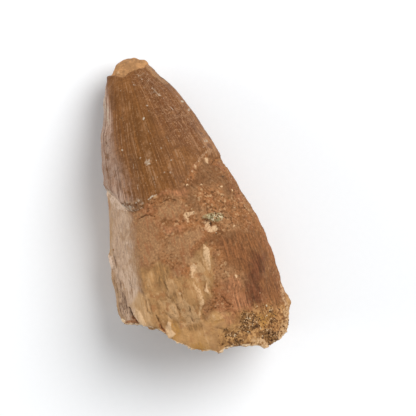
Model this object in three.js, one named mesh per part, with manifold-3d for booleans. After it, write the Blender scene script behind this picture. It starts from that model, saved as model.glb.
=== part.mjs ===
// A fossil mosasaur tooth in one piece: a fluted enamel crown on the stump of its root, lying on its side.
// Millimetres. +Y runs from the broken root to the tip, +X to the right seen from above, and +Z up from the
// flat that the tooth rests on.
//
// The body is a lathe blank of unit radius about Y. Each vertex of it moves to the oval section that the
// tooth has at its height, and then in or out by the relief: enamel margin, facet, flakes, splits and sand.
import * as THREE from "three";
import { ImprovedNoise } from "three/addons/math/ImprovedNoise.js";
import { mergeVertices } from "three/addons/utils/BufferGeometryUtils.js";
import Module from "manifold-3d";

// Driving dimensions: the tooth's box as it lies.
const LENGTH = 50;
const WIDTH = 27;
const THICKNESS = 19.4;

// The blank's grid: columns round the tooth, and rings on the broken base, up the side and over the tip.
const COLUMNS = 84;
const BASE_RINGS = 9;
const SIDE_RINGS = 40;
const TIP_RINGS = 6;

// Silhouette and depth from root to tip. Along is a share of the length from the middle, left and right are
// the edges as shares of the width, and crest and underside are shares of the thickness.
// prettier-ignore
const STATIONS = [
  // along    left   right   crest  under
  [-0.520, -0.490,  0.490,  0.930,  0.000],
  [-0.400, -0.500,  0.492,  0.975, -0.018],
  [-0.280, -0.501,  0.477,  1.000, -0.024],
  [-0.160, -0.492,  0.474,  1.000, -0.024],
  [-0.040, -0.452,  0.428,  0.965, -0.022],
  [ 0.080, -0.400,  0.360,  0.900, -0.018],
  [ 0.200, -0.362,  0.287,  0.800,  0.000],
  [ 0.300, -0.316,  0.224,  0.690,  0.040],
  [ 0.380, -0.268,  0.160,  0.585,  0.085],
  [ 0.452, -0.204,  0.056,  0.460,  0.150],
];

// The oval section: the height of its widest line as a share of its depth, how far its crest stands left of
// its middle as a share of its width, and the power of its superellipse, blunt on the left and keen on the
// right.
const WIDEST_LINE = 0.46;
const CREST_SHIFT = 0.04;
const MEAN_POWER = 2.05;
const POWER_SPREAD = 0.3;

// Lines round the tooth: [bearing in degrees, along]. Bearing 0 is the right edge, 90 the crest, 180 the
// left edge and 270 the underside.
// prettier-ignore
const ROOT_RIM = [
  [0, -0.385], [6, -0.415], [17, -0.468], [28, -0.487], [38, -0.500], [49, -0.487], [60, -0.479],
  [72, -0.472], [80, -0.484], [90, -0.471], [98, -0.463], [108, -0.438], [118, -0.408], [124, -0.370],
  [136, -0.337], [164, -0.320], [180, -0.292], [205, -0.310], [235, -0.360], [262, -0.405], [285, -0.425],
  [315, -0.430], [340, -0.405],
];
// prettier-ignore
const ENAMEL_MARGIN = [
  [0, 0.124], [14, 0.140], [35, 0.128], [52, 0.108], [62, 0.086], [72, 0.064], [82, 0.058], [92, 0.062],
  [104, 0.046], [113, 0.028], [119, 0.020], [125, 0.023], [131, 0.038], [138, 0.060], [148, 0.092],
  [166, 0.122], [180, 0.132], [200, 0.128], [235, 0.085], [270, 0.060], [305, 0.085], [335, 0.110],
];

// Below its margin the enamel's thickness is gone, and the root swells back to the silhouette further down.
const ENAMEL_STEP = 0.45;
const STEP_WIDTH = 0.9;
const ROOT_SWELL = 6;

// The crown's faint flutes.
const FLUTES = 14;
const FLUTE_DEPTH = 0.01; // as a share of the radius

// The flat broken facet on the left of the root: its outward normal and its distance from the origin.
const SIDE_FACET = { normal: new THREE.Vector3(-0.857, 0.148, 0.493).normalize(), distance: 14.5 };

// The worn stub of dentine at the tip: how far it stands past the enamel, how fast it rounds over on each
// side, and how far it stands in from the enamel there.
const STUB_HEIGHT = 2.4;
const STUB_BLUNTNESS_LEFT = 1.6;
const STUB_BLUNTNESS_RIGHT = 0.7;
const STUB_INSET_LEFT = 0.16;
const STUB_INSET_RIGHT = 0.03;

// The break through the root: its middle height, its slopes to the right and upwards, and the hollow in it.
const BREAK = { along: -0.4, slopeRight: -0.37, slopeUp: -0.11, hollow: 2.4, rough: 1.1, lump: 4.6 };

// Marks on the upper face, in plan: where, half sizes in millimetres, and height (a pit is negative).
const SAND_CRUST = { across: 0.315, along: -0.42, rx: 5.0, ry: 3.6 };
const CRUST_LIFT = 0.3;
const CRUST_LUMPS = 0.55;
const CRUST_LUMP_SIZE = 1.9;
const FLAKED_ROOT = { across: -0.13, along: -0.3, rx: 6.5, ry: 7.5 };
const FLAKE_HEIGHT = 0.4;
const FLAKE_WIDTH = 1.7;
const MARKS = [
  { name: "peach pit", across: 0.155, along: -0.09, rx: 1.6, ry: 1.1, height: -0.55 },
  { name: "greenish lump", across: 0.19, along: -0.056, rx: 2.1, ry: 0.9, height: 0.28 },
  { name: "pale pit", across: 0.045, along: -0.026, rx: 1.2, ry: 0.9, height: -0.3 },
  { name: "long flake scar", across: 0.03, along: -0.24, rx: 1.2, ry: 4.4, height: -0.4 },
  { name: "margin notch", across: 0.31, along: 0.12, rx: 1.3, ry: 0.8, height: -0.4 },
  { name: "lower right swell", across: 0.3, along: -0.25, rx: 4.5, ry: 5.0, height: 0.3 },
  { name: "split", across: -0.42, along: -0.315, rx: 0.9, ry: 1.6, height: -1.0 },
  { name: "second split", across: -0.25, along: -0.37, rx: 0.7, ry: 1.6, height: -0.6 },
];

// A flake that still clings to the right edge near the base.
const CLINGING_FLAKE = { bearing: 2, along: -0.37, spread: 14, reach: 0.03, height: 0.6 };

// Uneven growth and wear over the whole surface: [size of the lumps, their height].
const ROOT_LUMPS = [5.5, 0.3];
const ROOT_GRAIN = [2.1, 0.16];
const ENAMEL_SHARE = 0.35;

const DEGREES = Math.PI / 180;
const { lerp, smoothstep } = THREE.MathUtils;
const perlin = new ImprovedNoise();

// Perlin noise, about -1 to 1, with lumps of the given size in millimetres.
function noise(p, size) {
  return 1.6 * perlin.noise(p.x / size + 7.3, p.y / size + 2.1, p.z / size + 5.7);
}

// A cubic through rows: the first number of a row says where, and the others are the values there.
function cubicThrough(rows) {
  const count = rows[0].length - 1;
  const where = Float32Array.from(rows, (row) => row[0]);
  const values = Float32Array.from(rows.flatMap((row) => row.slice(1)));
  const cubic = new THREE.CubicInterpolant(where, values, count, new Float32Array(count));
  return (at) => cubic.evaluate(at);
}

// The same round the tooth, joined end to end.
function cubicAround(rows) {
  const turned = (turn) => rows.map(([bearing, value]) => [bearing + turn, value]);
  const cubic = cubicThrough([...turned(-360), ...rows, ...turned(360)]);
  return (bearing) => cubic(bearing)[0];
}

const stationAt = cubicThrough(STATIONS);
const rimAt = cubicAround(ROOT_RIM);
const marginAt = cubicAround(ENAMEL_MARGIN);
const TIP_ALONG = STATIONS.at(-1)[0];

// The oval at a height: the axis through it, and the half sizes on its four sides.
function sectionAt(y) {
  const [left, right, crest, under] = stationAt(y / LENGTH);
  const x = WIDTH * ((left + right) / 2 - CREST_SHIFT * (right - left));
  const z = THICKNESS * (under + WIDEST_LINE * (crest - under));
  return {
    x,
    z,
    left: x - WIDTH * left,
    right: WIDTH * right - x,
    up: THICKNESS * crest - z,
    down: z - THICKNESS * under,
  };
}

// The radius of the oval towards a bearing.
function ovalRadius(section, cos, sin) {
  const power = MEAN_POWER - POWER_SPREAD * cos;
  const across = Math.abs(cos) / (cos < 0 ? section.left : section.right);
  const upright = Math.abs(sin) / (sin < 0 ? section.down : section.up);
  return (across ** power + upright ** power) ** (-1 / power);
}

// 1 in the middle of an oval patch in plan, falling to 0 at its edge.
function patch(p, { across, along, rx, ry }) {
  const away = Math.hypot((p.x - across * WIDTH) / rx, (p.y - along * LENGTH) / ry);
  return 1 - smoothstep(away, 0.45, 1);
}

// How far the surface stands in or out of the plain oval, at a point on it.
function relief(p, bearing, oval) {
  const belowMargin = marginAt(bearing) * LENGTH - p.y;
  const root = smoothstep(belowMargin, 0, STEP_WIDTH);
  const upper = smoothstep(Math.sin(bearing * DEGREES), 0, 0.35);
  const flaked = root * upper * patch(p, FLAKED_ROOT);
  const crust = root * upper * patch(p, SAND_CRUST);
  let height = -ENAMEL_STEP * root * Math.exp(-Math.max(belowMargin, 0) / ROOT_SWELL);
  height += (1 - root) * FLUTE_DEPTH * oval * Math.cos(FLUTES * bearing * DEGREES);
  const lumps = ROOT_LUMPS[1] * noise(p, ROOT_LUMPS[0]) + ROOT_GRAIN[1] * noise(p, ROOT_GRAIN[0]);
  height += lumps * lerp(ENAMEL_SHARE, 1, root);
  const fibre = new THREE.Vector3(p.x / FLAKE_WIDTH, p.y / (5 * FLAKE_WIDTH), p.z / FLAKE_WIDTH);
  height += flaked * FLAKE_HEIGHT * Math.sign(noise(fibre, 1)) * Math.sqrt(Math.abs(noise(fibre, 1)));
  height += crust * (CRUST_LIFT + CRUST_LUMPS * noise(p, CRUST_LUMP_SIZE));
  for (const mark of MARKS) height += upper * mark.height * patch(p, mark);
  return height;
}

// The clinging flake lifts the right edge and ends in a step towards the base.
function clingingFlake(y, bearing) {
  const { bearing: middle, along, spread, reach, height } = CLINGING_FLAKE;
  const turned = Math.abs(((bearing - middle + 540) % 360) - 180) / spread;
  const up = (y / LENGTH - along) / reach;
  return height * (1 - smoothstep(turned, 0.4, 1)) * smoothstep(up, -1, -0.7) * (1 - smoothstep(up, 0, 1));
}

// A point on the side. Share runs from 0 at the root's rim to 1 where the enamel ends at the tip.
function sidePoint(share, bearing) {
  const y = LENGTH * lerp(rimAt(bearing), TIP_ALONG, share);
  const section = sectionAt(y);
  const cos = Math.cos(bearing * DEGREES);
  const sin = Math.sin(bearing * DEGREES);
  const oval = ovalRadius(section, cos, sin);
  const plain = new THREE.Vector3(section.x + oval * cos, y, section.z + oval * sin);
  let radius = oval + relief(plain, bearing, oval) + clingingFlake(y, bearing);
  const { normal, distance } = SIDE_FACET;
  const outwards = normal.x * cos + normal.z * sin;
  if (outwards > 0 && y < marginAt(bearing) * LENGTH) {
    const toFacet = (distance - normal.x * section.x - normal.y * y - normal.z * section.z) / outwards;
    radius = Math.min(radius, toFacet);
  }
  return new THREE.Vector3(section.x + radius * cos, y, section.z + radius * sin);
}

// A point on the broken base. Share runs from 0 at its middle to 1 at the rim.
function basePoint(share, bearing) {
  const rim = sidePoint(0, bearing);
  const middle = sectionAt(BREAK.along * LENGTH);
  const p = new THREE.Vector3(lerp(middle.x, rim.x, share), 0, lerp(middle.z, rim.z, share));
  const plane =
    BREAK.along * LENGTH + BREAK.slopeRight * (p.x - middle.x) + BREAK.slopeUp * (p.z - middle.z);
  const hollow = BREAK.hollow * (1 - smoothstep(share, 0.25, 0.7));
  const rough = BREAK.rough * noise(p, BREAK.lump) * (1 - share ** 4);
  p.y = lerp(plane, rim.y, share ** 4) + hollow + rough;
  return p;
}

// A point on the stub at the tip. Share runs from 0 at the enamel's broken edge to 1 at the top.
function stubPoint(share, bearing) {
  const edge = sidePoint(1, bearing);
  const section = sectionAt(edge.y);
  const leftwards = (1 - Math.cos(bearing * DEGREES)) / 2;
  const inset = lerp(STUB_INSET_RIGHT, STUB_INSET_LEFT, leftwards);
  const bluntness = lerp(STUB_BLUNTNESS_RIGHT, STUB_BLUNTNESS_LEFT, leftwards);
  const narrowing = (1 - inset) * Math.cos((share * Math.PI) / 2) ** bluntness;
  return new THREE.Vector3(
    lerp(section.x, edge.x, narrowing),
    edge.y + STUB_HEIGHT * Math.sin((share * Math.PI) / 2),
    lerp(section.z, edge.z, narrowing),
  );
}

// The profile of the blank: out across the base, up the side and in over the tip. The height of each point
// is its ring's number, from which the point finds its place on the tooth.
function blankProfile() {
  const points = [];
  for (let ring = 0; ring < BASE_RINGS; ring++) points.push(new THREE.Vector2(ring / BASE_RINGS, ring));
  for (let ring = 0; ring <= SIDE_RINGS; ring++) points.push(new THREE.Vector2(1, BASE_RINGS + ring));
  for (let ring = 0; ring <= TIP_RINGS; ring++)
    points.push(new THREE.Vector2(1 - ring / TIP_RINGS, BASE_RINGS + SIDE_RINGS + 1 + ring));
  return points;
}

// The ring's number and the bearing give the point's place.
function placeOf(ring, bearing) {
  if (ring < BASE_RINGS) return basePoint(ring / BASE_RINGS, bearing);
  if (ring <= BASE_RINGS + SIDE_RINGS) return sidePoint((ring - BASE_RINGS) / SIDE_RINGS, bearing);
  return stubPoint((ring - BASE_RINGS - SIDE_RINGS - 1) / TIP_RINGS, bearing);
}

function carvedTooth() {
  const rings = blankProfile();
  const geometry = new THREE.LatheGeometry(rings, COLUMNS);
  const position = geometry.getAttribute("position");
  for (let i = 0; i < position.count; i++) {
    const column = Math.floor(i / rings.length) % COLUMNS;
    // A lathe turns from +Z to +X, and bearings turn the other way.
    const bearing = 360 - (column * 360) / COLUMNS;
    const place = placeOf(i % rings.length, bearing % 360);
    position.setXYZ(i, place.x, place.y, place.z);
  }
  return geometry;
}

// three.js geometry as a manifold-3d solid, and back.
function solidFrom(wasm, geometry) {
  geometry.deleteAttribute("normal");
  geometry.deleteAttribute("uv");
  const merged = mergeVertices(geometry, 1e-4);
  return new wasm.Manifold(
    new wasm.Mesh({
      numProp: 3,
      vertProperties: merged.getAttribute("position").array,
      triVerts: new Uint32Array(merged.index.array),
    }),
  );
}

function geometryFrom(solid) {
  const mesh = solid.getMesh();
  return new THREE.BufferGeometry()
    .setAttribute("position", new THREE.BufferAttribute(mesh.vertProperties, 3))
    .setIndex(new THREE.BufferAttribute(mesh.triVerts, 1));
}

// What lies under the rest plane is worn away, which leaves the flat that the tooth lies on.
function wornFlat(wasm, solid) {
  const depth = 10;
  const underground = new THREE.BoxGeometry(2 * WIDTH, 2 * LENGTH, depth).translate(0, 0, -depth / 2);
  return solid.subtract(solidFrom(wasm, underground));
}

// Brings the tooth to its driving dimensions exactly, with the origin under the middle of its box.
function fitToBox(geometry) {
  geometry.computeBoundingBox();
  const size = geometry.boundingBox.getSize(new THREE.Vector3());
  const middle = geometry.boundingBox.getCenter(new THREE.Vector3());
  geometry.translate(-middle.x, -middle.y, 0);
  geometry.scale(WIDTH / size.x, LENGTH / size.y, THICKNESS / size.z);
  return geometry;
}

const wasm = await Module();
wasm.setup();
const fossil = new THREE.MeshStandardMaterial({ color: 0x9a6c45, roughness: 0.55, metalness: 0 });
const tooth = new THREE.Mesh(
  fitToBox(geometryFrom(wornFlat(wasm, solidFrom(wasm, carvedTooth())))),
  fossil,
);
tooth.name = "tooth";
tooth.geometry.computeVertexNormals();

const specimen = new THREE.Group();
specimen.add(tooth);

export default specimen;
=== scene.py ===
"""A fossil mosasaur tooth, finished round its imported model, with a floor, soft light and a camera.

The file is laid out as an add-on and is run as a script. Places on the tooth are in millimetres from the
middle of its plan: across to the right, along towards the tip, and height above what it lies on.
"""

import math

import bmesh
import bpy
import numpy as np
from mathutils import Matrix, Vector


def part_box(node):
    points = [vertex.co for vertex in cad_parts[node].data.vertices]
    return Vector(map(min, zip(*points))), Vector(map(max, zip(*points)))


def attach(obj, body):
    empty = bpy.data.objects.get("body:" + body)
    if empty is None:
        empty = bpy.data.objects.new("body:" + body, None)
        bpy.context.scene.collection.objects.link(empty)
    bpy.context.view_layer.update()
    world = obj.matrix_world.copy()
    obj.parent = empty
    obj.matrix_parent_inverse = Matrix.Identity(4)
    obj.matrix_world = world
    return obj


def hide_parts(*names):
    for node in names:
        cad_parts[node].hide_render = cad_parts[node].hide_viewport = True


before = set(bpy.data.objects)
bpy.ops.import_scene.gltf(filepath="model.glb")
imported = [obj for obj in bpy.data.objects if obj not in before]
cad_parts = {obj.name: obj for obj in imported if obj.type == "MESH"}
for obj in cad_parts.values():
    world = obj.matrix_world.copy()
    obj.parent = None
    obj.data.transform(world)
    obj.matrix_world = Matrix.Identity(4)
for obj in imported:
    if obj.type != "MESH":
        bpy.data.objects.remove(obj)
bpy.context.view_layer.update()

bl_info = {
    "name": "Fossil mosasaur tooth",
    "version": (1, 0, 0),
    "blender": (4, 5, 0),
    "location": "3D View > Sidebar > Fossil",
    "description": "Makes a fossil tooth with its sand crust, and the table that it is looked at on",
    "category": "Object",
}

NODE = "tooth"
LENGTH = 50.0  # how long the tooth is modelled, in millimetres
HALF_WIDTH = 12.0  # half its width where it is widest
LOW, HIGH = (np.array(corner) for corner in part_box(NODE))
MM = (HIGH[1] - LOW[1]) / LENGTH  # a millimetre on the tooth, at whatever size it was packed
MIDDLE = np.array([(LOW[0] + HIGH[0]) / 2, (LOW[1] + HIGH[1]) / 2, LOW[2]])

# --- Lines and patches on the tooth -------------------------------------------------------------------------

# Where the enamel ends, as along against across, on the upper side and on the underside.
MARGIN_ABOVE = [
    (-10.6, 6.7), (-10.3, 6.0), (-9.6, 4.5), (-8.7, 2.9), (-8.1, 1.9), (-7.1, 1.1), (-6.0, 1.0),
    (-5.2, 1.4), (-3.8, 2.3), (-2.8, 2.7), (-1.4, 3.1), (0.4, 2.9), (2.2, 3.6), (3.3, 4.8), (4.4, 6.0),
    (6.4, 7.3), (7.1, 6.2), (8.6, 5.9),
]
MARGIN_BELOW = [(-10.6, 6.7), (-8.5, 5.0), (-5.0, 3.6), (-1.0, 3.0), (4.0, 4.0), (7.0, 5.3), (8.6, 6.3)]
# How proud the enamel stands of the root there, and how gradually sand hides its edge, against across.
MARGIN_STEP = [
    (-10.6, 0.1), (-9.0, 0.2), (-6.0, 0.22), (-3.5, 0.14), (0.0, 0.05), (3.5, 0.06), (6.4, 0.08),
    (7.2, 0.26), (8.6, 0.3),
]
MARGIN_BLUR = [(-9.0, 0.06), (-3.5, 0.12), (-1.0, 0.35), (4.0, 0.6), (6.4, 0.4), (7.2, 0.1), (8.6, 0.08)]
# The enamel's broken edge at the tip, past which the worn dentine shows.
TIP_EDGE = [
    (-6.0, 23.3), (-5.4, 23.1), (-4.4, 23.0), (-3.8, 22.7), (-3.3, 22.4), (-2.7, 22.5), (-2.2, 22.8),
    (-1.3, 23.0), (0.4, 23.1), (1.2, 23.4), (2.0, 23.6),
]
# The right-hand limits of the root's broken facet and of the crown's left flank, on which a sheen is painted,
# as across against along.
FACET_EDGE = [(-17.0, -9.4), (-15.2, -8.9), (-10.7, -8.7), (-7.0, -8.4), (-3.0, -7.9), (1.0, -7.4),
              (4.0, -8.8)]
FLANK_SHEEN_EDGE = [(1.0, -5.8), (6.0, -6.0), (10.0, -7.0), (14.0, -6.6), (18.0, -6.3), (21.5, -6.0),
              (23.0, -6.0)]
FLANK_SHEEN_BLUR = [(1.0, 1.6), (6.0, 1.6), (10.0, 1.4), (14.0, 0.9), (18.0, 0.5), (22.0, 0.3)]

# Zones on the upper side: outlines, and how soft and how wandering their edges are.
ZONES = {
    "olive_crown": ([[(-4.2, 16.8), (-0.8, 18.4), (-0.8, 13.0), (-2.0, 5.0), (-4.6, 3.0),
                      (-5.4, 9.0)]], 1.5, 0.8),
    "violet_crown": ([
         [(-2.0, 22.6), (1.6, 22.6), (2.8, 20.4), (6.4, 12.8), (8.0, 8.8), (5.8, 7.8), (2.0, 10.4),
          (0.2, 14.5)],
     ], 1.5, 0.8),
    "tan_crown": ([
         [(0.7, 24.4), (1.9, 23.9), (3.0, 21.8), (4.8, 19.0), (3.0, 19.6), (1.6, 21.2), (0.9, 22.6)],
     ], 0.25, 0.25),
    "worn_crown": ([
         [(3.3, 4.6), (4.4, 6.2), (6.2, 7.3), (8.3, 8.2), (8.6, 7.4), (7.0, 6.9), (5.4, 6.2), (4.4, 5.2)],
         [(6.3, 9.4), (7.3, 9.8), (7.9, 8.8), (6.8, 8.2)],
     ], 0.35, 0.35),
    # Painted sheen: pale streaks that lighten the crown's steep left flank, which faces away from the key
    # light.
    "sheen_crown": ([
         [(-9.2, 12.6), (-7.2, 14.2), (-6.3, 18.0), (-5.9, 21.6), (-6.4, 22.4), (-7.6, 19.6), (-9.0, 15.6)],
         [(-9.4, 6.6), (-8.2, 6.4), (-7.6, 4.4), (-7.5, 2.8), (-8.8, 2.6), (-9.5, 4.2)],
     ], 0.4, 0.3),
    "flaky": ([
         [(-8.6, -7.8), (-6.6, -8.3), (-5.4, -7.6), (-4.0, -8.6), (-3.2, -10.4), (-1.0, -10.8),
          (-0.2, -8.6), (1.8, -7.2), (3.0, -6.6), (3.4, -8.0), (2.6, -11.8), (1.6, -14.8), (0.2, -15.6),
          (-0.9, -18.6), (-3.5, -18.8), (-6.4, -18.0), (-9.0, -16.0), (-8.9, -11.0)],
     ], 0.5, 0.4),
    "olive_root": ([
         [(-6.6, -8.4), (-5.0, -7.8), (-3.8, -9.0), (-4.2, -10.8), (-5.4, -11.0), (-6.2, -10.2)],
         [(-3.2, -18.3), (-1.2, -18.7), (-0.8, -19.2), (-1.6, -19.6), (-3.4, -19.2)],
         [(-5.0, -12.9), (-3.6, -12.6), (-3.2, -14.0), (-4.2, -14.8), (-5.0, -14.2)],
     ], 0.6, 0.4),
    "tan_root": ([
         [(-3.6, 1.0), (0.2, 1.0), (0.6, -1.0), (-0.6, -2.0), (-3.6, -1.0)],
         [(-8.8, 1.6), (-6.6, 1.1), (-4.8, 0.0), (-3.6, -2.0), (-4.2, -5.0), (-5.0, -7.2), (-8.8, -7.8)],
         [(-2.5, -4.4), (2.4, -4.0), (2.8, -5.6), (0.0, -6.8), (-3.4, -6.4)],
         [(-1.9, -7.2), (0.4, -7.2), (0.7, -8.9), (-0.6, -9.6), (-2.0, -8.8)],
         [(-4.1, -9.0), (-2.6, -9.2), (-2.4, -10.8), (-3.9, -11.0)],
     ], 0.9, 0.6),
    "brown_root": ([
         [(4.6, -6.2), (8.0, -6.2), (10.9, -6.2), (12.0, -9.5), (11.4, -13.2), (9.0, -13.4), (6.0, -12.0),
          (5.0, -9.0)],
         [(9.6, -14.2), (12.6, -13.6), (12.4, -18.8), (9.6, -19.0)],
     ], 1.1, 0.8),
    "red_root": ([
         [(3.6, -13.4), (6.0, -12.4), (6.8, -15.0), (7.3, -19.0), (4.8, -19.0), (4.4, -17.0)],
         [(2.2, -18.2), (4.2, -18.0), (4.4, -19.4), (2.6, -20.2)],
         [(-3.4, -2.5), (-0.8, -2.8), (0.2, -3.4), (-0.6, -3.8), (-3.2, -3.5)],
         [(-2.6, 2.9), (1.8, 3.0), (1.9, 1.8), (-0.4, 2.0)],
     ], 0.9, 0.7),
    "purple_root": ([
         [(7.2, -13.6), (8.6, -11.8), (10.0, -10.2), (11.2, -11.0), (10.6, -13.8), (9.2, -15.2),
          (9.2, -18.2), (7.2, -18.6), (6.8, -15.8)],
     ], 1.1, 0.7),
    "dim_root": ([
         [(0.6, 3.4), (2.4, 3.4), (3.3, 0.8), (3.1, -1.1), (2.3, -1.0), (1.7, 0.0), (1.1, 1.4)],
         [(2.8, -5.6), (5.0, -5.6), (7.6, -6.0), (7.0, -7.4), (4.6, -7.2), (3.0, -6.8)],
         [(7.4, 2.6), (8.6, 3.0), (9.6, 0.8), (9.0, -0.6), (7.8, 0.0)],
         [(2.6, 2.6), (4.6, 5.0), (6.2, 6.0), (8.0, 5.0), (8.6, 2.6), (6.4, 2.0), (4.4, 2.2)],
     ], 0.6, 0.5),
    "golden": ([
         [(-8.8, -16.4), (-7.0, -17.2), (-5.4, -16.8), (-4.6, -18.6), (-1.0, -18.4), (1.0, -17.2),
          (3.2, -17.8), (4.6, -19.6), (4.6, -22.0), (7.0, -22.6), (7.6, -26.0), (-11.0, -26.0)],
     ], 0.5, 0.5),
    "rust": ([
         [(-11.5, -14.0), (-11.3, -14.2), (-11.0, -15.2), (-10.5, -16.4), (-11.0, -16.2), (-11.6, -15.3)],
         [(-13.1, -15.4), (-11.7, -15.5), (-11.0, -16.0), (-10.8, -16.3), (-12.0, -15.9), (-13.1, -15.7)],
         [(-7.7, -17.0), (-7.3, -17.0), (-6.8, -18.4), (-6.5, -19.6), (-7.2, -19.2)],
     ], 0.2, 0.2),
    "golden_chip": ([[(12.9, -16.2), (14.2, -16.6), (14.2, -20.6), (12.8, -20.3)]], 0.15, 0.15),
    "golden_facet": ([[(-11.0, -13.0), (-9.4, -11.2), (-8.3, -12.0), (-8.4, -17.2),
                       (-10.4, -16.6)]], 0.5, 0.4),
    "pale_facet": ([
         [(-12.4, -7.8), (-9.5, -6.8), (-9.0, -10.6), (-9.6, -12.4), (-10.6, -13.4), (-11.6, -12.4)],
     ], 0.6, 0.5),
    "stained_facet": ([[(-11.6, 5.6), (-10.5, 5.4), (-10.3, 4.4), (-10.45, 2.6), (-10.9, 2.0),
                        (-11.8, 1.0)]], 0.2, 0.2),
    "pitted": ([[(-13.5, -8.4), (-12.0, -8.4), (-11.6, -12.6), (-12.0, -15.0), (-13.6, -15.2)]], 0.4, 0.3),
    "sandy_base": ([
         [(4.2, -18.6), (7.8, -18.4), (9.4, -18.6), (12.8, -19.6), (13.4, -22.0), (11.0, -25.5),
          (2.0, -25.5), (1.0, -23.0), (1.0, -20.6), (4.0, -20.6)],
     ], 1.0, 0.8),
    "pale_base": ([
         [(12.1, -19.8), (13.3, -20.2), (13.0, -22.2), (11.8, -24.4), (9.9, -25.0), (9.8, -23.6),
          (11.0, -22.8), (11.8, -21.4)],
         [(6.2, -23.0), (7.8, -23.4), (8.3, -25.4), (5.8, -25.0)],
     ], 0.5, 0.5),
    "honey": ([
         [(7.7, -19.6), (9.3, -20.0), (9.3, -21.4), (8.6, -22.0), (7.7, -21.8)],
         [(1.2, -18.2), (2.6, -18.4), (2.5, -19.0), (1.2, -18.8)],
         [(-5.9, -17.4), (-5.0, -17.6), (-4.8, -19.0), (-5.4, -20.0), (-6.4, -20.0), (-5.6, -18.8)],
         [(-3.4, -21.6), (-2.0, -21.4), (-1.0, -22.8), (0.4, -24.0), (-1.0, -23.8), (-3.4, -22.8)],
         [(9.0, -20.2), (10.4, -20.0), (10.6, -20.6), (9.2, -20.9)],
     ], 0.4, 0.4),
}
# Sand cemented on in crusts.
CRUSTS = [
    [(4.9, -19.2), (5.8, -18.7), (7.5, -19.1), (7.7, -20.4), (7.6, -21.6), (6.4, -22.1), (5.0, -22.0),
     (4.7, -20.6)],
    [(9.4, -19.9), (9.8, -19.0), (10.4, -19.0), (10.5, -19.8), (10.0, -20.2)],
    [(9.5, -20.9), (10.1, -20.7), (10.2, -21.4), (9.6, -21.6)],
    [(7.7, -22.2), (9.0, -22.0), (9.9, -23.2), (9.9, -24.4), (8.4, -24.8), (7.9, -23.6)],
    [(1.8, -20.4), (2.6, -20.5), (3.5, -21.3), (3.9, -22.2), (3.2, -22.4), (2.2, -21.5)],
    [(2.3, -22.7), (3.9, -22.5), (4.5, -23.4), (3.0, -23.6)],
]
SPARKLY_BAND = [(1.8, 2.6), (6.0, 5.4), (9.0, 3.0), (10.6, -1.0), (11.4, -4.6), (7.0, -6.2), (4.5, -5.4),
                (2.0, -3.0)]
CRUMBLED_MARGIN = [
    (-8.7, 3.0), (-7.9, 3.1), (-6.6, 2.7), (-5.6, 3.1), (-5.0, 2.4), (-5.2, 1.3), (-6.6, 1.1), (-7.6, 1.4),
    (-8.4, 2.2),
]
GREEN_LUMP = [
    (3.3, -2.6), (4.4, -2.3), (5.4, -2.4), (6.4, -2.8), (6.6, -3.3), (6.1, -3.8), (5.2, -3.8), (4.6, -3.4),
    (4.0, -2.9),
]

# Where the outline is fuller or leaner than the even grid leaves it: across, along, reach and how much.
SWELLS = [
    (-3.7, 24.4, 0.8, 0.26), (-2.2, 25.0, 1.1, 0.32), (-0.5, 24.6, 1.0, 0.24), (0.9, 24.1, 0.5, 0.16),
    (-5.3, 22.9, 0.6, 0.46), (-6.1, 21.6, 1.1, 0.32), (-6.9, 19.4, 1.4, 0.32), (1.7, 22.5, 1.0, 0.3),
    (-8.8, 14.0, 1.2, 0.3), (-9.4, 11.6, 1.6, 0.26), (-9.9, 8.8, 1.5, 0.28), (-10.3, 6.2, 1.2, 0.42),
    (-10.4, 4.9, 0.5, 0.2), (-12.9, -7.4, 1.2, -0.16), (-13.3, -10.0, 1.2, -0.18), (-13.0, -15.7, 0.6, 0.2),
    (-11.8, -16.6, 1.2, -0.28), (-9.8, -17.5, 0.8, -0.4), (-8.4, -18.4, 0.7, -0.85),
    (-6.8, -19.5, 0.6, 0.45), (-5.0, -21.3, 0.6, -0.25), (-2.9, -23.2, 0.9, -0.3), (-0.9, -23.9, 0.8, -0.3),
    (0.2, -24.2, 0.6, -0.4), (4.6, -24.2, 0.8, -0.25), (5.9, -24.6, 0.8, -0.18), (7.0, -24.9, 0.7, -0.2),
    (8.7, -25.2, 0.9, -0.25), (2.5, -24.0, 1.0, -0.12), (10.0, -24.4, 0.7, 0.22), (13.3, -19.6, 0.8, 0.25),
    (12.9, -15.9, 0.6, -0.2),
]
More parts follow.
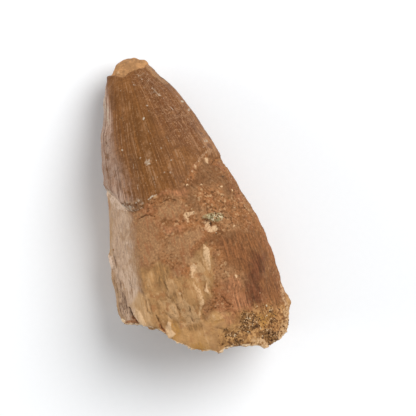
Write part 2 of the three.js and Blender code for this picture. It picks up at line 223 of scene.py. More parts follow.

# Flakes and plates that stand up, and one painted highlight: outline, height and how pale they are.
FLAKES = [
    ([(2.4, -6.6), (2.9, -7.2), (3.1, -7.9), (2.8, -9.2), (2.7, -10.2), (2.2, -11.4), (1.85, -10.8),
      (1.85, -9.0), (2.1, -7.4)], 0.3, 0.74),
    ([(-0.6, -9.5), (0.2, -9.1), (0.45, -9.8), (0.1, -10.4), (-0.3, -10.7), (-0.5, -11.4), (-0.9, -11.3),
      (-0.7, -10.4)], 0.22, 0.85),
    ([(1.0, -13.2), (1.4, -12.5), (1.2, -13.6), (1.4, -14.6), (0.9, -14.2), (0.6, -13.8)], 0.22, 0.85),
    ([(0.5, -8.6), (1.7, -7.7), (1.85, -9.2), (1.7, -11.0), (1.5, -12.2), (0.9, -13.0), (0.5, -12.8),
      (0.6, -11.0)], 0.12, 0.28),
    ([(-1.0, -11.5), (-0.5, -12.7), (0.05, -13.3), (0.15, -15.0), (0.0, -15.7), (-0.5, -16.4),
      (-0.8, -17.2), (-1.1, -18.0), (-1.6, -17.6), (-2.2, -18.0), (-2.7, -16.0), (-3.0, -14.0),
      (-2.5, -12.6), (-1.7, -11.8)], 0.26, 0.22),
    ([(-0.7, -11.6), (-0.3, -12.7), (0.1, -13.2), (0.2, -15.0), (0.05, -15.7), (-0.45, -16.4),
      (-0.75, -17.2), (-1.05, -18.0), (-1.35, -17.4), (-0.95, -16.4), (-0.7, -15.0), (-0.75, -13.6),
      (-1.0, -12.4)], 0.06, 0.56),
    ([(-5.9, -14.8), (-4.6, -14.5), (-4.4, -15.5), (-4.2, -16.5), (-4.25, -17.1), (-4.9, -16.7),
      (-5.5, -15.9)], 0.22, 0.4),
    ([(-8.2, -9.0), (-6.9, -8.7), (-6.7, -10.0), (-6.5, -11.6), (-7.3, -11.6), (-8.3, -10.8)], 0.16, 0.18),
    ([(-6.8, -17.6), (-6.1, -17.0), (-5.7, -17.2), (-5.9, -18.4), (-5.4, -19.2), (-6.6, -19.9),
      (-7.1, -19.0)], 0.18, 1.0),
    ([(0.0, 23.7), (0.6, 23.4), (1.4, 23.4), (1.3, 24.6), (0.3, 24.7)], 0.3, 0.1),
    ([(-4.1, 23.2), (-3.6, 23.1), (-3.5, 23.5), (-3.9, 23.6)], 0.12, 0.7),
    ([(-12.5, -4.5), (-12.1, -4.9), (-12.1, -6.0), (-12.2, -6.8), (-12.8, -6.9), (-12.7, -5.6)], 0.3, 0.75),
    ([(0.3, -1.4), (0.9, -1.1), (1.6, -1.2), (2.4, -1.1), (2.4, -1.8), (1.7, -1.7), (1.25, -2.0),
      (1.1, -2.9), (0.7, -2.8), (0.4, -2.1)], 0.05, 0.72),
    ([(-3.6, 8.7), (-3.1, 8.4), (-2.85, 8.8), (-2.6, 8.4), (-2.1, 8.8), (-2.4, 8.1), (-2.3, 7.6),
      (-2.7, 7.7), (-3.1, 7.4), (-3.15, 7.8), (-3.6, 7.9), (-3.3, 8.2)], 0.02, 0.62),
    ([(-11.1, -14.2), (-10.4, -13.6), (-9.8, -14.4), (-9.5, -15.6), (-9.4, -16.9), (-10.0, -16.6),
      (-10.6, -15.9), (-10.9, -15.0)], 0.25, 0.85),
    ([(5.9, 6.2), (6.3, 6.6), (6.9, 6.4), (6.8, 5.9), (6.5, 5.4), (6.1, 5.5)], -0.06, 0.7),
    ([(2.9, -3.2), (3.7, -3.1), (4.3, -3.5), (4.4, -4.2), (5.0, -4.2), (5.4, -4.7), (4.9, -5.2),
      (4.2, -5.3), (3.5, -5.0), (3.0, -4.5), (3.3, -4.0)], -0.1, 0.82),
    ([(6.4, -23.6), (7.4, -23.4), (8.1, -24.2), (8.2, -24.9), (7.4, -25.0), (6.6, -24.5)], 0.15, 0.6),
    ([(-0.7, -17.9), (0.6, -17.5), (1.6, -17.9), (2.6, -18.2), (2.8, -18.9), (1.4, -18.9),
      (0.2, -18.5)], 0.18, 0.4),
    # Painted highlight: a pale strip along the root's right edge.
    ([(12.8, -15.1), (12.95, -16.2), (12.8, -17.6), (12.9, -19.8), (12.3, -20.2), (12.2, -18.6),
      (11.9, -17.6), (12.3, -16.6)], 0.1, 0.5),
]
# Hollows: outline, depth and how dark they are.
HOLLOWS = [
    ([(-11.5, -14.4), (-11.3, -14.6), (-11.0, -15.6), (-10.7, -16.4), (-11.1, -16.2),
      (-11.4, -15.4)], 0.2, 0.4),
    ([(-0.2, -16.2), (0.6, -15.8), (1.6, -16.1), (1.5, -16.9), (0.4, -17.4), (-0.5, -17.0)], 0.25, 0.2),
    ([(8.4, -23.0), (9.6, -22.9), (10.0, -23.9), (9.2, -24.5), (8.4, -24.2)], 0.2, 0.6),
    ([(-12.6, -10.6), (-12.2, -10.8), (-11.8, -12.6), (-11.9, -14.2), (-12.3, -14.4),
      (-12.5, -12.8)], 0.3, 0.55),
    ([(9.2, -20.3), (9.9, -20.4), (9.8, -20.9), (9.2, -20.8)], 0.15, 0.6),
    ([(5.9, -19.2), (7.6, -19.1), (7.5, -19.5), (6.0, -19.5)], 0.15, 0.55),
]
# Splits and cracks, and a few painted shadows beside a ridge and a ledge: path, width, depth and how dark
# they are.
SPLITS = [
    ([(-11.6, -13.1), (-11.45, -14.2), (-11.15, -15.2), (-10.6, -16.5)], 0.27, 0.42, 0.95),
    ([(-7.6, -15.3), (-7.6, -16.8), (-7.2, -18.1), (-6.7, -19.6)], 0.18, 0.4, 0.55),
    # Painted shadow beside the ridge on the left of the root.
    ([(-8.7, -11.0), (-8.9, -13.0), (-8.9, -14.6), (-8.4, -15.4)], 0.18, 0.25, 0.4),
    ([(-8.3, -7.6), (-8.5, -9.4), (-8.7, -11.0)], 0.2, 0.12, 0.3),
    ([(-10.6, -9.2), (-10.4, -10.2), (-10.3, -11.1)], 0.16, 0.25, 0.65),
    ([(-12.2, -7.8), (-12.15, -9.6), (-12.3, -10.8)], 0.18, 0.25, 0.6),
    ([(-5.4, -10.7), (-5.1, -11.4), (-4.9, -12.4)], 0.18, 0.22, 0.45),
    ([(-4.4, -14.6), (-4.25, -15.4), (-4.1, -16.2), (-4.15, -17.1)], 0.16, 0.25, 0.5),
    ([(-6.2, -15.5), (-5.7, -16.3), (-5.6, -17.1)], 0.16, 0.25, 0.5),
    ([(-2.4, -15.4), (-2.3, -18.1)], 0.18, 0.28, 0.5),
    ([(2.9, -15.2), (3.5, -16.2), (4.2, -17.1)], 0.2, 0.3, 0.75),
    ([(3.1, -17.2), (4.3, -17.0)], 0.16, 0.22, 0.6),
    ([(4.2, -17.2), (4.35, -18.4), (4.3, -19.4)], 0.18, 0.25, 0.6),
    ([(4.2, -18.4), (3.85, -19.1)], 0.14, 0.15, 0.4),
    ([(-4.2, 1.4), (-3.4, 1.55), (-2.6, 1.4), (-1.8, 1.65), (-0.8, 1.6), (0.4, 1.0)], 0.16, 0.22, 0.65),
    ([(-6.8, -0.3), (-6.2, 0.0), (-5.4, 0.1), (-4.7, 0.0), (-3.9, -0.5)], 0.18, 0.24, 0.75),
    ([(7.0, 5.4), (7.7, 5.8), (8.5, 6.1)], 0.2, 0.25, 0.75),
    ([(-11.95, -4.8), (-11.95, -6.0), (-12.1, -7.0)], 0.15, 0.25, 0.6),
    ([(0.2, -19.6), (1.3, -20.1), (2.4, -20.7), (3.3, -21.3)], 0.18, 0.25, 0.55),
    # Painted shadow under the ledge above a raised plate.
    ([(-8.2, -8.6), (-7.5, -8.55), (-6.9, -8.6)], 0.18, 0.12, 0.35),
    ([(2.0, -11.8), (2.5, -11.0), (3.0, -10.6)], 0.16, 0.12, 0.3),
]
# Pale scratches, chipped edges and painted highlights: path, width and how pale they are.
SCRATCHES = [
    # Painted highlight along the lit edge of the enamel's step over the facet.
    ([(-10.3, 6.0), (-9.8, 4.2), (-9.1, 2.5), (-8.2, 1.6)], 0.95, 0.66),
    ([(0.8, 19.5), (1.2, 19.0), (1.4, 18.4), (1.9, 17.9)], 0.24, 0.44),
    ([(1.8, 19.2), (1.0, 18.7), (0.5, 18.4)], 0.18, 0.4),
    ([(1.6, 18.2), (1.0, 17.9), (0.7, 17.4)], 0.16, 0.36),
    ([(-1.0, 22.3), (-0.4, 21.8), (0.3, 22.1), (0.9, 21.6)], 0.22, 0.4),
    ([(-1.2, 20.3), (-1.9, 21.2), (-1.3, 22.0)], 0.18, 0.36),
    ([(0.1, 20.4), (0.8, 20.9), (1.4, 20.2)], 0.18, 0.36),
    ([(-0.4, 19.2), (0.1, 18.4), (0.9, 19.0)], 0.16, 0.36),
    ([(2.2, 19.6), (2.6, 18.8), (2.4, 17.9)], 0.16, 0.32),
    # Painted highlight along the same ridge.
    ([(-8.9, -11.0), (-9.15, -13.0), (-9.2, -15.2)], 0.34, 0.4),
    ([(-8.0, 2.1), (-7.4, 1.4), (-6.9, 0.9)], 0.2, 0.6),
    # Painted highlight at the bottom of the same step.
    ([(-9.3, 4.0), (-8.9, 3.0), (-8.4, 2.3), (-7.9, 1.8)], 0.3, 0.9),
    ([(-2.65, 7.4), (-2.6, 5.4), (-2.7, 2.9)], 0.13, 0.45),
    ([(-5.0, 9.0), (-5.2, 6.9)], 0.14, 0.5),
    ([(-4.9, 6.2), (-5.4, 4.0)], 0.14, 0.45),
    ([(-1.35, 14.2), (-1.15, 11.0)], 0.13, 0.4),
    ([(4.1, 9.8), (4.9, 7.8)], 0.18, 0.3),
    ([(3.8, 5.3), (5.0, 6.3), (6.4, 7.1), (7.9, 7.5)], 0.4, 0.34),
    ([(1.2, 11.2), (1.35, 10.0)], 0.15, 0.55),
    ([(3.0, 15.9), (3.35, 15.1)], 0.17, 0.65),
    ([(-4.2, 2.4), (-3.4, 2.55), (-2.7, 2.8)], 0.2, 0.65),
    # Painted sheen: pale streaks on the crown's left flank.
    ([(-6.45, 21.2), (-6.7, 19.4), (-7.0, 17.4), (-7.4, 15.0)], 0.3, 0.6),
    ([(-6.9, 20.4), (-7.3, 18.4), (-7.9, 15.6)], 0.22, 0.5),
    ([(-7.9, 14.6), (-8.3, 12.4), (-8.6, 9.8)], 0.2, 0.34),
]
# Small chips, crumbs and grains: across, along, half sizes, height, and how pale they are.
CHIPS = [
    (-3.7, 9.0, 0.14, 0.28, 0.0, 0.5), (-6.2, 11.0, 0.17, 0.17, 0.02, 0.85),
    (0.9, 7.4, 0.2, 0.18, 0.02, 0.6), (-0.6, 5.8, 0.25, 0.2, 0.0, 0.45), (0.3, 5.6, 0.3, 0.25, 0.0, 0.4),
    (0.1, 6.4, 0.15, 0.3, 0.0, 0.4), (-1.9, 5.4, 0.15, 0.15, 0.0, 0.45), (-1.6, 10.8, 0.22, 0.13, 0.0, 0.5),
    (-0.1, 9.7, 0.2, 0.15, 0.0, 0.5), (-0.6, 16.9, 0.22, 0.18, 0.02, 0.62),
    (-0.5, 16.0, 0.15, 0.14, 0.02, 0.5), (-1.6, 14.9, 0.15, 0.25, 0.03, 1.0),
    (0.9, 19.4, 0.24, 0.2, 0.0, 0.45), (1.2, 18.8, 0.34, 0.2, 0.0, 0.38), (1.8, 18.1, 0.2, 0.35, 0.0, 0.45),
    (-0.2, 19.8, 0.4, 0.25, 0.0, 0.3), (-0.7, 21.9, 0.2, 0.14, 0.02, 0.55),
    (-0.3, 21.3, 0.14, 0.15, 0.0, 0.5), (0.7, 20.9, 0.14, 0.14, 0.0, 0.5), (-1.8, 20.7, 0.2, 0.2, 0.0, 0.4),
    (5.0, 16.2, 0.3, 0.2, 0.0, 0.8), (4.5, 17.2, 0.2, 0.15, 0.0, 0.5), (5.7, 14.6, 0.25, 0.3, 0.0, 0.6),
    (7.0, 9.1, 0.5, 0.32, 0.0, 0.5), (6.4, 8.2, 0.3, 0.15, 0.0, 0.35), (5.2, 6.2, 0.3, 0.2, 0.0, 0.45),
    (4.4, 5.6, 0.25, 0.25, 0.0, 0.48), (3.7, 4.9, 0.15, 0.35, 0.0, 0.5), (2.7, 3.8, 0.14, 0.4, 0.0, 0.6),
    (2.35, 3.05, 0.3, 0.16, 0.03, 0.8), (4.5, 2.4, 0.16, 0.14, 0.03, 0.5),
    (7.5, 1.35, 0.22, 0.18, 0.05, 0.8), (9.1, 0.4, 0.14, 0.28, 0.03, 0.8),
    (2.5, 0.1, 0.15, 0.14, 0.03, 0.7), (7.8, -5.15, 0.22, 0.14, 0.03, 0.8),
    (-4.3, -3.2, 0.14, 0.2, 0.02, 0.4), (-1.05, -7.7, 0.15, 0.14, 0.03, 0.8),
    (6.15, -12.9, 0.22, 0.36, 0.03, 0.9), (9.0, -16.4, 0.2, 0.15, 0.03, 0.5),
    (-3.2, -13.2, 0.25, 0.4, 0.04, 0.5), (-7.2, -12.6, 0.14, 0.14, 0.03, 0.7),
    (-3.85, -19.8, 0.24, 0.34, 0.05, 0.95), (-1.6, -22.75, 0.3, 0.16, 0.04, 0.7),
    (-9.25, -3.4, 0.14, 0.3, 0.02, 0.6), (3.85, -23.2, 0.16, 0.16, 0.05, 0.9),
    (8.6, -22.5, 0.25, 0.18, 0.05, 0.9), (5.8, -19.3, 0.18, 0.18, 0.05, 0.7),
    (-7.7, 2.6, 0.18, 0.26, 0.03, 0.36), (-5.7, 2.6, 0.26, 0.3, 0.03, 0.56),
    (-6.9, 2.2, 0.14, 0.26, 0.03, 0.34), (-5.3, 1.5, 0.13, 0.34, 0.03, 0.34),
    (-6.3, 1.8, 0.12, 0.3, 0.03, 0.3), (-7.3, 3.0, 0.12, 0.24, 0.03, 0.3),
]
# Small dark pits: across, along, half sizes, depth, and how dark they are.
PITS = [
    (-2.9, 8.15, 0.2, 0.22, 0.04, 0.45), (4.4, -3.9, 0.16, 0.4, 0.12, 1.0),
    (3.3, -2.9, 0.22, 0.2, 0.12, 0.6), (2.5, -13.5, 0.35, 0.4, 0.12, 0.4),
    (1.3, -22.8, 0.32, 0.22, 0.25, 0.75), (1.65, -23.35, 0.24, 0.18, 0.25, 0.75),
    (-3.4, -9.3, 0.38, 0.2, 0.08, 0.35), (-7.3, -11.9, 0.6, 0.3, 0.06, 0.35),
    (-2.3, -12.0, 0.35, 0.35, 0.05, 0.3), (-1.3, -11.4, 0.3, 0.2, 0.06, 0.35),
    (0.3, -17.1, 0.22, 0.16, 0.12, 0.6), (0.9, -16.9, 0.3, 0.14, 0.12, 0.6),
    (1.3, -16.6, 0.16, 0.16, 0.12, 0.5), (0.1, -16.3, 0.16, 0.2, 0.12, 0.45),
    (-4.8, -13.6, 0.2, 0.16, 0.08, 0.55), (5.6, -14.5, 0.35, 0.25, 0.05, 0.25),
    (5.2, -21.3, 0.25, 0.18, 0.1, 0.8), (6.5, -20.6, 0.18, 0.25, 0.1, 0.8),
    (5.2, -20.8, 0.16, 0.2, 0.1, 0.6), (9.6, -21.2, 0.2, 0.2, 0.1, 0.6), (9.0, -24.5, 0.3, 0.18, 0.15, 0.8),
    (9.1, -23.2, 0.2, 0.16, 0.1, 0.6), (-10.0, -3.1, 0.14, 0.2, 0.05, 0.4),
    (-10.25, -4.7, 0.16, 0.2, 0.05, 0.5), (8.1, 2.6, 0.18, 0.18, 0.05, 0.4),
    (8.6, 0.4, 0.2, 0.16, 0.05, 0.4), (-6.2, 2.0, 0.18, 0.35, 0.06, 0.6), (-7.0, 3.0, 0.3, 0.15, 0.04, 0.5),
    (-5.0, 2.8, 0.2, 0.3, 0.04, 0.5), (-8.3, 2.7, 0.3, 0.18, 0.04, 0.5), (8.6, -9.6, 0.3, 0.4, 0.0, 0.15),
]

# The filled pulp cavity in the broken end, as across and height.
PULP_MIDDLE = (-0.8, 8.2)
PULP_HALF = (5.6, 3.6)

UNDERSIDE_STEP = 0.15  # how proud the enamel stands of the root on the underside
UNDERSIDE_BLUR = 0.15  # and how gradually it gives way to the root there
UNDERSIDE_SHARE = 0.7  # how strongly the zones carry on there
RISER = 0.22  # the share of each tread of a broken layer that slopes up to the next

FINE_ABOVE = (7.5, 0.08)  # the mesh is twice as fine above this height, which falls towards the tip
SECTION_WIDEST = 0.46  # the height of a section's widest line, as a share of its depth
SLABS = 60  # how many sections the tooth is cut into when its middle and its outline are measured

# How thickly the coarse grains lie in each zone, and how thickly anywhere else.
SAND_SHARES = {"crust": 1.0, "green": 0.35, "sandy_base": 0.10, "sparkly": 0.012}
LOOSE_SAND = 0.0003

CARD_REACH = 1.5  # half the width of the card, in metres
KEY_PLACE, KEY_WIDTH = (0.457, 0.184, 0.630), 0.60
FILL_PLACE, FILL_WIDTH = (-0.735, 0.240, 0.200), 0.50
VIEW_MIDDLE = (4.578, -1.368)  # the place that the camera looks down on
VIEW_LEVEL = 8.5  # the height of the tooth's widest line, at which the view's width is measured

# --- Patterns in numbers ------------------------------------------------------------------------------------

KINDS = 4096  # how many kinds of lattice cell there are, a power of two
RANDOM = np.random.default_rng(11)
GRADIENTS = RANDOM.normal(size=(KINDS, 3))
GRADIENTS /= np.linalg.norm(GRADIENTS, axis=1)[:, None]
SPOTS = RANDOM.random((KINDS, 4))


def lattice_key(cell):
    """Which of the kinds each cell of a lattice is, with no order to it."""
    return (cell[:, 0] * 73856093 ^ cell[:, 1] * 19349663 ^ cell[:, 2] * 83492791) & (KINDS - 1)


def noise(points, size, turn):
    """Smooth noise from about -1 to 1, with lumps of the given size. Each turn gives another pattern."""
    place = points / size + np.array([17.3, 5.9, 11.7]) * turn
    cell = np.floor(place).astype(np.int64)
    inside = place - cell
    fade = inside**3 * (inside * (inside * 6 - 15) + 10)
    total = np.zeros(len(points))
    for corner in np.ndindex(2, 2, 2):
        slope = GRADIENTS[lattice_key(cell + corner)]
        weight = np.where(corner, fade, 1 - fade).prod(axis=1)
        total += weight * ((inside - corner) * slope).sum(axis=1)
    return 1.6 * total


def cells(points, size, turn):
    """For each point how far the nearest of scattered spots is, as a share of size, and its number."""
    place = points / size + np.array([3.1, 23.9, 7.7]) * turn
    cell = np.floor(place).astype(np.int64)
    nearest = np.full(len(points), 9.0)
    value = np.zeros(len(points))
    for step in np.ndindex(3, 3, 3):
        there = cell + np.array(step) - 1
        spot = SPOTS[lattice_key(there)]
        away = np.linalg.norm(there + spot[:, :3] - place, axis=1)
        closer = away < nearest
        nearest[closer] = away[closer]
        value[closer] = spot[closer, 3]
    return nearest, value


def ramp(values, low, high):
    """0 below low, 1 above high, and a smooth rise between them."""
    share = np.clip((values - low) / (high - low), 0, 1)
    return share * share * (3 - 2 * share)


def line(values, points):
    """Straight lines through points of (where, value)."""
    where, value = zip(*points)
    return np.interp(values, where, value)


def path_distance(plan, path):
    """How far away a path of straight runs is in plan, and how far along it, from 0 to 1."""
    starts = np.array(path[:-1], dtype=float)
    runs = np.array(path[1:], dtype=float) - starts
    lengths = np.linalg.norm(runs, axis=1)
    total = lengths.sum()
    nearest = np.full(len(plan), 1e9)
    share = np.zeros(len(plan))
    before = 0.0
    for start, run, length in zip(starts, runs, lengths):
        along = np.clip((plan - start) @ run / length**2, 0, 1)
        away = np.linalg.norm(plan - start - along[:, None] * run, axis=1)
        closer = away < nearest
        nearest[closer] = away[closer]
        share[closer] = (before + along[closer] * length) / total
        before += length
    return nearest, share


def patch(plan, outline, soft):
    """1 inside an outline in plan and 0 outside it, with an edge as soft as asked."""
    ring = [*outline, outline[0]]
    away, _ = path_distance(plan, ring)
    inside = np.zeros(len(plan), dtype=bool)
    across, along = plan.T
    for (from_across, from_along), (to_across, to_along) in zip(ring[:-1], ring[1:]):
        if from_along != to_along:
            crosses = (along > from_along) != (along > to_along)
            shift = (along - from_along) * (to_across - from_across) / (to_along - from_along)
            inside ^= crosses & (across < from_across + shift)
    return ramp(np.where(inside, away, -away), -soft, soft)


def tapered(plan, path, width):
    """1 along the middle of a path and 0 past its width, which narrows towards its ends."""
    away, share = path_distance(plan, path)
    taper = np.sqrt(np.clip(4 * share * (1 - share), 0.05, 1))
    return 1 - ramp(away, 0.3 * width * taper, width * taper)


def terraces(values, count):
    """Turns smooth values into flat treads with steep risers between them."""
    steps = values * count
    tread = np.floor(steps)
    return (tread + ramp(steps - tread, 1 - RISER, 1.0)) / count


class Skin:
    """The tooth's surface as arrays: points in millimetres, normals, and where they are round the tooth.

    The zones add past_margin, root, tip_lip and seen, which the reliefs need, and finish holds every value
    that the material reads.
    """

    def __init__(self, mesh):
        self.mesh = mesh
        count = len(mesh.vertices)
        places = np.empty(count * 3)
        mesh.vertices.foreach_get("co", places)
        normals = np.empty(count * 3)
        mesh.vertices.foreach_get("normal", normals)
        self.points = (places.reshape(-1, 3) - MIDDLE) / MM
        self.normals = normals.reshape(-1, 3)
        self.across, self.along, self.height = self.points.T
        self.round = self.directions()
        self.above = self.round[:, 1] > 0
        self.upper = ramp(self.round[:, 1], -0.30, -0.05)
        self.finish = {}

    def directions(self):
        """The direction from the middle of its section to each point: across and up."""
        edges = np.linspace(self.along.min(), self.along.max(), SLABS + 1)
        slab = np.clip(np.digitize(self.along, edges) - 1, 0, SLABS - 1)
        middles = []
        for number in range(SLABS):
            across = self.across[slab == number]
            height = self.height[slab == number]
            rise = height.min() + SECTION_WIDEST * (height.max() - height.min())
            middles.append(((across.min() + across.max()) / 2, rise))
        centres = (edges[:-1] + edges[1:]) / 2
        middle_across, middle_height = np.array(middles).T
        away_across = self.across - np.interp(self.along, centres, middle_across)
        away_up = self.height - np.interp(self.along, centres, middle_height)
        distance = np.maximum(np.hypot(away_across, away_up), 1e-6)
        return np.stack([away_across, away_up], axis=1) / distance[:, None]

    def inside_base(self):
        """How far inside the outline of the base, seen from above, each point is."""
        edges = np.linspace(self.across.min(), self.across.max(), SLABS + 1)
        slab = np.clip(np.digitize(self.across, edges) - 1, 0, SLABS - 1)
        lowest = [self.along[slab == number].min() for number in range(SLABS)]
        return self.along - np.interp(self.across, (edges[:-1] + edges[1:]) / 2, lowest)

    def top_at(self, across, along):
        """How high the upper surface is at a place seen from above."""
        away = np.hypot(self.across - across, self.along - along) + np.where(self.upper > 0.5, 0, 99)
        return self.height[np.argmin(away)]

    def plan(self, wobble, size, turn):
        """The points seen from above, moved a little by noise so that no drawn line stays straight."""
        moved = self.points[:, :2].copy()
        moved[:, 0] += wobble * noise(self.points, size, turn)
        moved[:, 1] += wobble * noise(self.points, size, turn + 1)
        return moved

    def grown(self, pitch, stretch, turn):
        """Noise in streaks that run from root to tip and draw together with the tooth."""
        place = np.column_stack([self.round * (HALF_WIDTH / pitch), self.along / stretch])
        return noise(place, 1.0, turn)

    def fibres(self, width, stretch, turn):
        """Noise in streaks along the tooth that stay of one width."""
        return noise(self.points / np.array([width, stretch, width]), 1.0, turn)

    def move(self, relief):
        """Moves each point out along its normal, and keeps the tooth on top of what it lies on."""
        points = self.points + self.normals * relief[:, None]
        points[:, 2] = np.maximum(points[:, 2], 0)
        places = points * MM + MIDDLE
        self.mesh.vertices.foreach_set("co", places.astype(np.float32).ravel())
        self.mesh.update()

    def store(self):
        """Writes each finish to the mesh, where the material reads it."""
        for name, values in self.finish.items():
            attribute = self.mesh.attributes.new(name, "FLOAT", "POINT")
            attribute.data.foreach_set("value", np.clip(values, 0, 1).astype(np.float32))
        growth = np.column_stack([self.round, self.along / LENGTH])
        attribute = self.mesh.attributes.new("growth", "FLOAT_VECTOR", "POINT")
        attribute.data.foreach_set("vector", growth.astype(np.float32).ravel())


# --- The tooth's zones --------------------------------------------------------------------------------------


def find_enamel(skin):
    """The enamel, from its broken margin above the root to the worn stub of the tip."""
    margin = np.where(skin.above, line(skin.across, MARGIN_ABOVE), line(skin.across, MARGIN_BELOW))
    ragged = 0.18 * noise(skin.points, 1.5, 1) + 0.10 * noise(skin.points, 0.5, 2)
    blur = np.where(skin.above, line(skin.across, MARGIN_BLUR), UNDERSIDE_BLUR)
    skin.past_margin = (skin.along - margin) * 0.85 + ragged + 0.6 * blur * noise(skin.points, 0.8, 5)
    skin.root = 1 - ramp(skin.past_margin / blur, -1, 1)
    past_tip = skin.along - line(skin.across, TIP_EDGE) + 0.10 * noise(skin.points, 0.6, 3)
    skin.tip_lip = np.exp(-((past_tip + 0.28) / 0.28) ** 2)
    skin.finish["stub"] = ramp(past_tip, -0.06, 0.06)
    skin.finish["enamel"] = (1 - skin.root) * (1 - skin.finish["stub"])


def find_break(skin):
    """The break through the root, its pale rim and painted highlight, the filled pulp cavity and its growth
    rings.
    """
    finish = skin.finish
    broken = ramp(-skin.normals[:, 1], 0.55, 0.8) * ramp(-skin.along, 12.5, 14.5)
    finish["break"] = broken
    facing_up = ramp(skin.normals[:, 2], 0.0, 0.20)
    skin.seen = skin.upper * (1 - broken * (1 - facing_up))
    # The pale rim keeps to the outline seen from above: a pale chipped edge with a painted highlight.
    reach = 0.15 + 0.15 * ramp(-skin.across, 8.5, 9.5)
    outermost = 1 - ramp(skin.inside_base() - reach, 0.0, 0.35)
    finish["pale_rim"] = skin.seen * outermost * ramp(-skin.along, 13.5, 15.0)
    away_across = (skin.across - PULP_MIDDLE[0]) / PULP_HALF[0]
    away_up = (skin.height - PULP_MIDDLE[1]) / PULP_HALF[1]
    from_middle = np.hypot(away_across, away_up)
    from_middle += 0.12 * noise(skin.points, 2.4, 71) + 0.05 * noise(skin.points, 0.8, 72)
    finish["pulp"] = broken * (1 - ramp(from_middle, 0.92, 1.06))
    ring_place = np.column_stack([5.0 * from_middle, 0.15 * skin.points[:, :2]])
    finish["rings"] = 0.5 + 0.5 * noise(ring_place, 1.0, 73)


def find_facet(skin):
    """The broken facet on the left of the root, and its edges."""
    finish = skin.finish
    loose = skin.plan(0.30, 1.2, 4)
    past_edge = line(loose[:, 1], FACET_EDGE) - loose[:, 0]
    leftward = ramp(-skin.normals[:, 0], 0.10, 0.35)
    facet = leftward * ramp(past_edge + 0.3 * skin.fibres(0.5, 3.0, 38), -0.5, 0.9)
    finish["facet"] = skin.root * (1 - finish["break"]) * facet
    near_edge = (1 - ramp(past_edge, 0.1, 1.3)) * ramp(-skin.along, 2.5, 5.5)
    finish["facet_edge"] = np.maximum(near_edge, ramp(-skin.normals[:, 0], 0.80, 0.97))


def find_rim_highlight_and_flank_sheen(skin):
    """A painted highlight on the crown's right rim, and a painted sheen in pale streaks on its left flank."""
    enamel = skin.finish["enamel"]
    # A painted highlight on the crown's right-facing edge, which faces the key light.
    skin.finish["rim"] = enamel * skin.upper * ramp(skin.normals[:, 0], 0.74, 0.93)
    # The flank is painted pale as a sheen on the left side of each section.
    past_sheen_edge = line(skin.along, FLANK_SHEEN_EDGE) - skin.across + 0.35 * skin.grown(0.7, 9.0, 7)
    flank_sheen = ramp(past_sheen_edge / line(skin.along, FLANK_SHEEN_BLUR), -0.6, 1.4)
    fading = 0.4 + 0.6 * ramp(skin.round[:, 1], -0.50, -0.10)
    skin.finish["flank_sheen"] = enamel * ramp(-skin.round[:, 0], 0.0, 0.2) * flank_sheen * fading


def find_drawn_zones(skin):
    """The zones that have outlines, and quieter ones on the underside, with left and right exchanged."""
    finish = skin.finish
    below = UNDERSIDE_SHARE * (1 - ramp(skin.round[:, 1], -0.55, -0.30))
    for number, (name, (outlines, soft, wander)) in enumerate(ZONES.items()):
        plan = skin.plan(wander, 1.2, 20 + 2 * number)
        plan[:, 0] *= np.where(below > 0, -1, 1)
        share = np.clip(sum(patch(plan, outline, soft) for outline in outlines), 0, 1)
        limit = finish["enamel"] if name.endswith("crown") else skin.root * (1 - finish["break"])
        finish[name] = np.maximum(skin.upper, below) * share * limit
    finish["flaky"] *= 1 - finish["facet"]
    finish["pitted"] *= ramp(skin.normals[:, 2], 0.05, 0.35)
    finish["tan_crown"] *= ramp(skin.normals[:, 2] + 0.25 * noise(skin.points, 0.9, 74), 0.05, 0.45)


def find_sand(skin):
    """The crusts, the sparkly band, the crumbled margin and the green lump."""
    finish = skin.finish
    ragged_plan = skin.plan(0.40, 0.7, 8)
    crust = sum(patch(ragged_plan, outline, 0.25) for outline in CRUSTS)
    finish["crust"] = skin.seen * np.clip(crust, 0, 1)
    finish["sparkly"] = skin.seen * skin.root * patch(skin.plan(1.0, 2.2, 10), SPARKLY_BAND, 1.2)
    finish["crumbled"] = skin.seen * patch(skin.plan(0.22, 0.5, 12), CRUMBLED_MARGIN, 0.25)
    finish["green"] = skin.seen * patch(skin.plan(0.20, 0.6, 14), GREEN_LUMP, 0.2)


# --- Its relief, in millimetres -----------------------------------------------------------------------------


def enamel_relief(skin):
    """Fine ridges that run to the tip, and a few dents."""
    ridges = 0.035 * skin.grown(0.75, 9.0, 1) + 0.03 * skin.grown(0.45, 6.0, 2)
    dents = 0.05 * noise(skin.points, 2.6, 3) + 0.02 * noise(skin.points, 0.5, 4)
    return skin.finish["enamel"] * (ridges + dents)


def margin_relief(skin):
    """The enamel's broken lower edge stands proud of the root, and is crumbling on the left."""
    step = np.where(skin.above, line(skin.across, MARGIN_STEP), UNDERSIDE_STEP)
    below = np.clip(-skin.past_margin, 0, None)
    drop = -step * ramp(-skin.past_margin, -0.08, 0.12) * np.exp(-below / 1.4)
    lip = 0.25 * step * np.exp(-((skin.past_margin - 0.25) / 0.22) ** 2)
    away, value = cells(skin.points, 0.45, 4)
    crumbs = (0.30 * value - 0.20) * (1 - ramp(away, 0.2, 0.6))
    return drop + lip + skin.finish["crumbled"] * crumbs


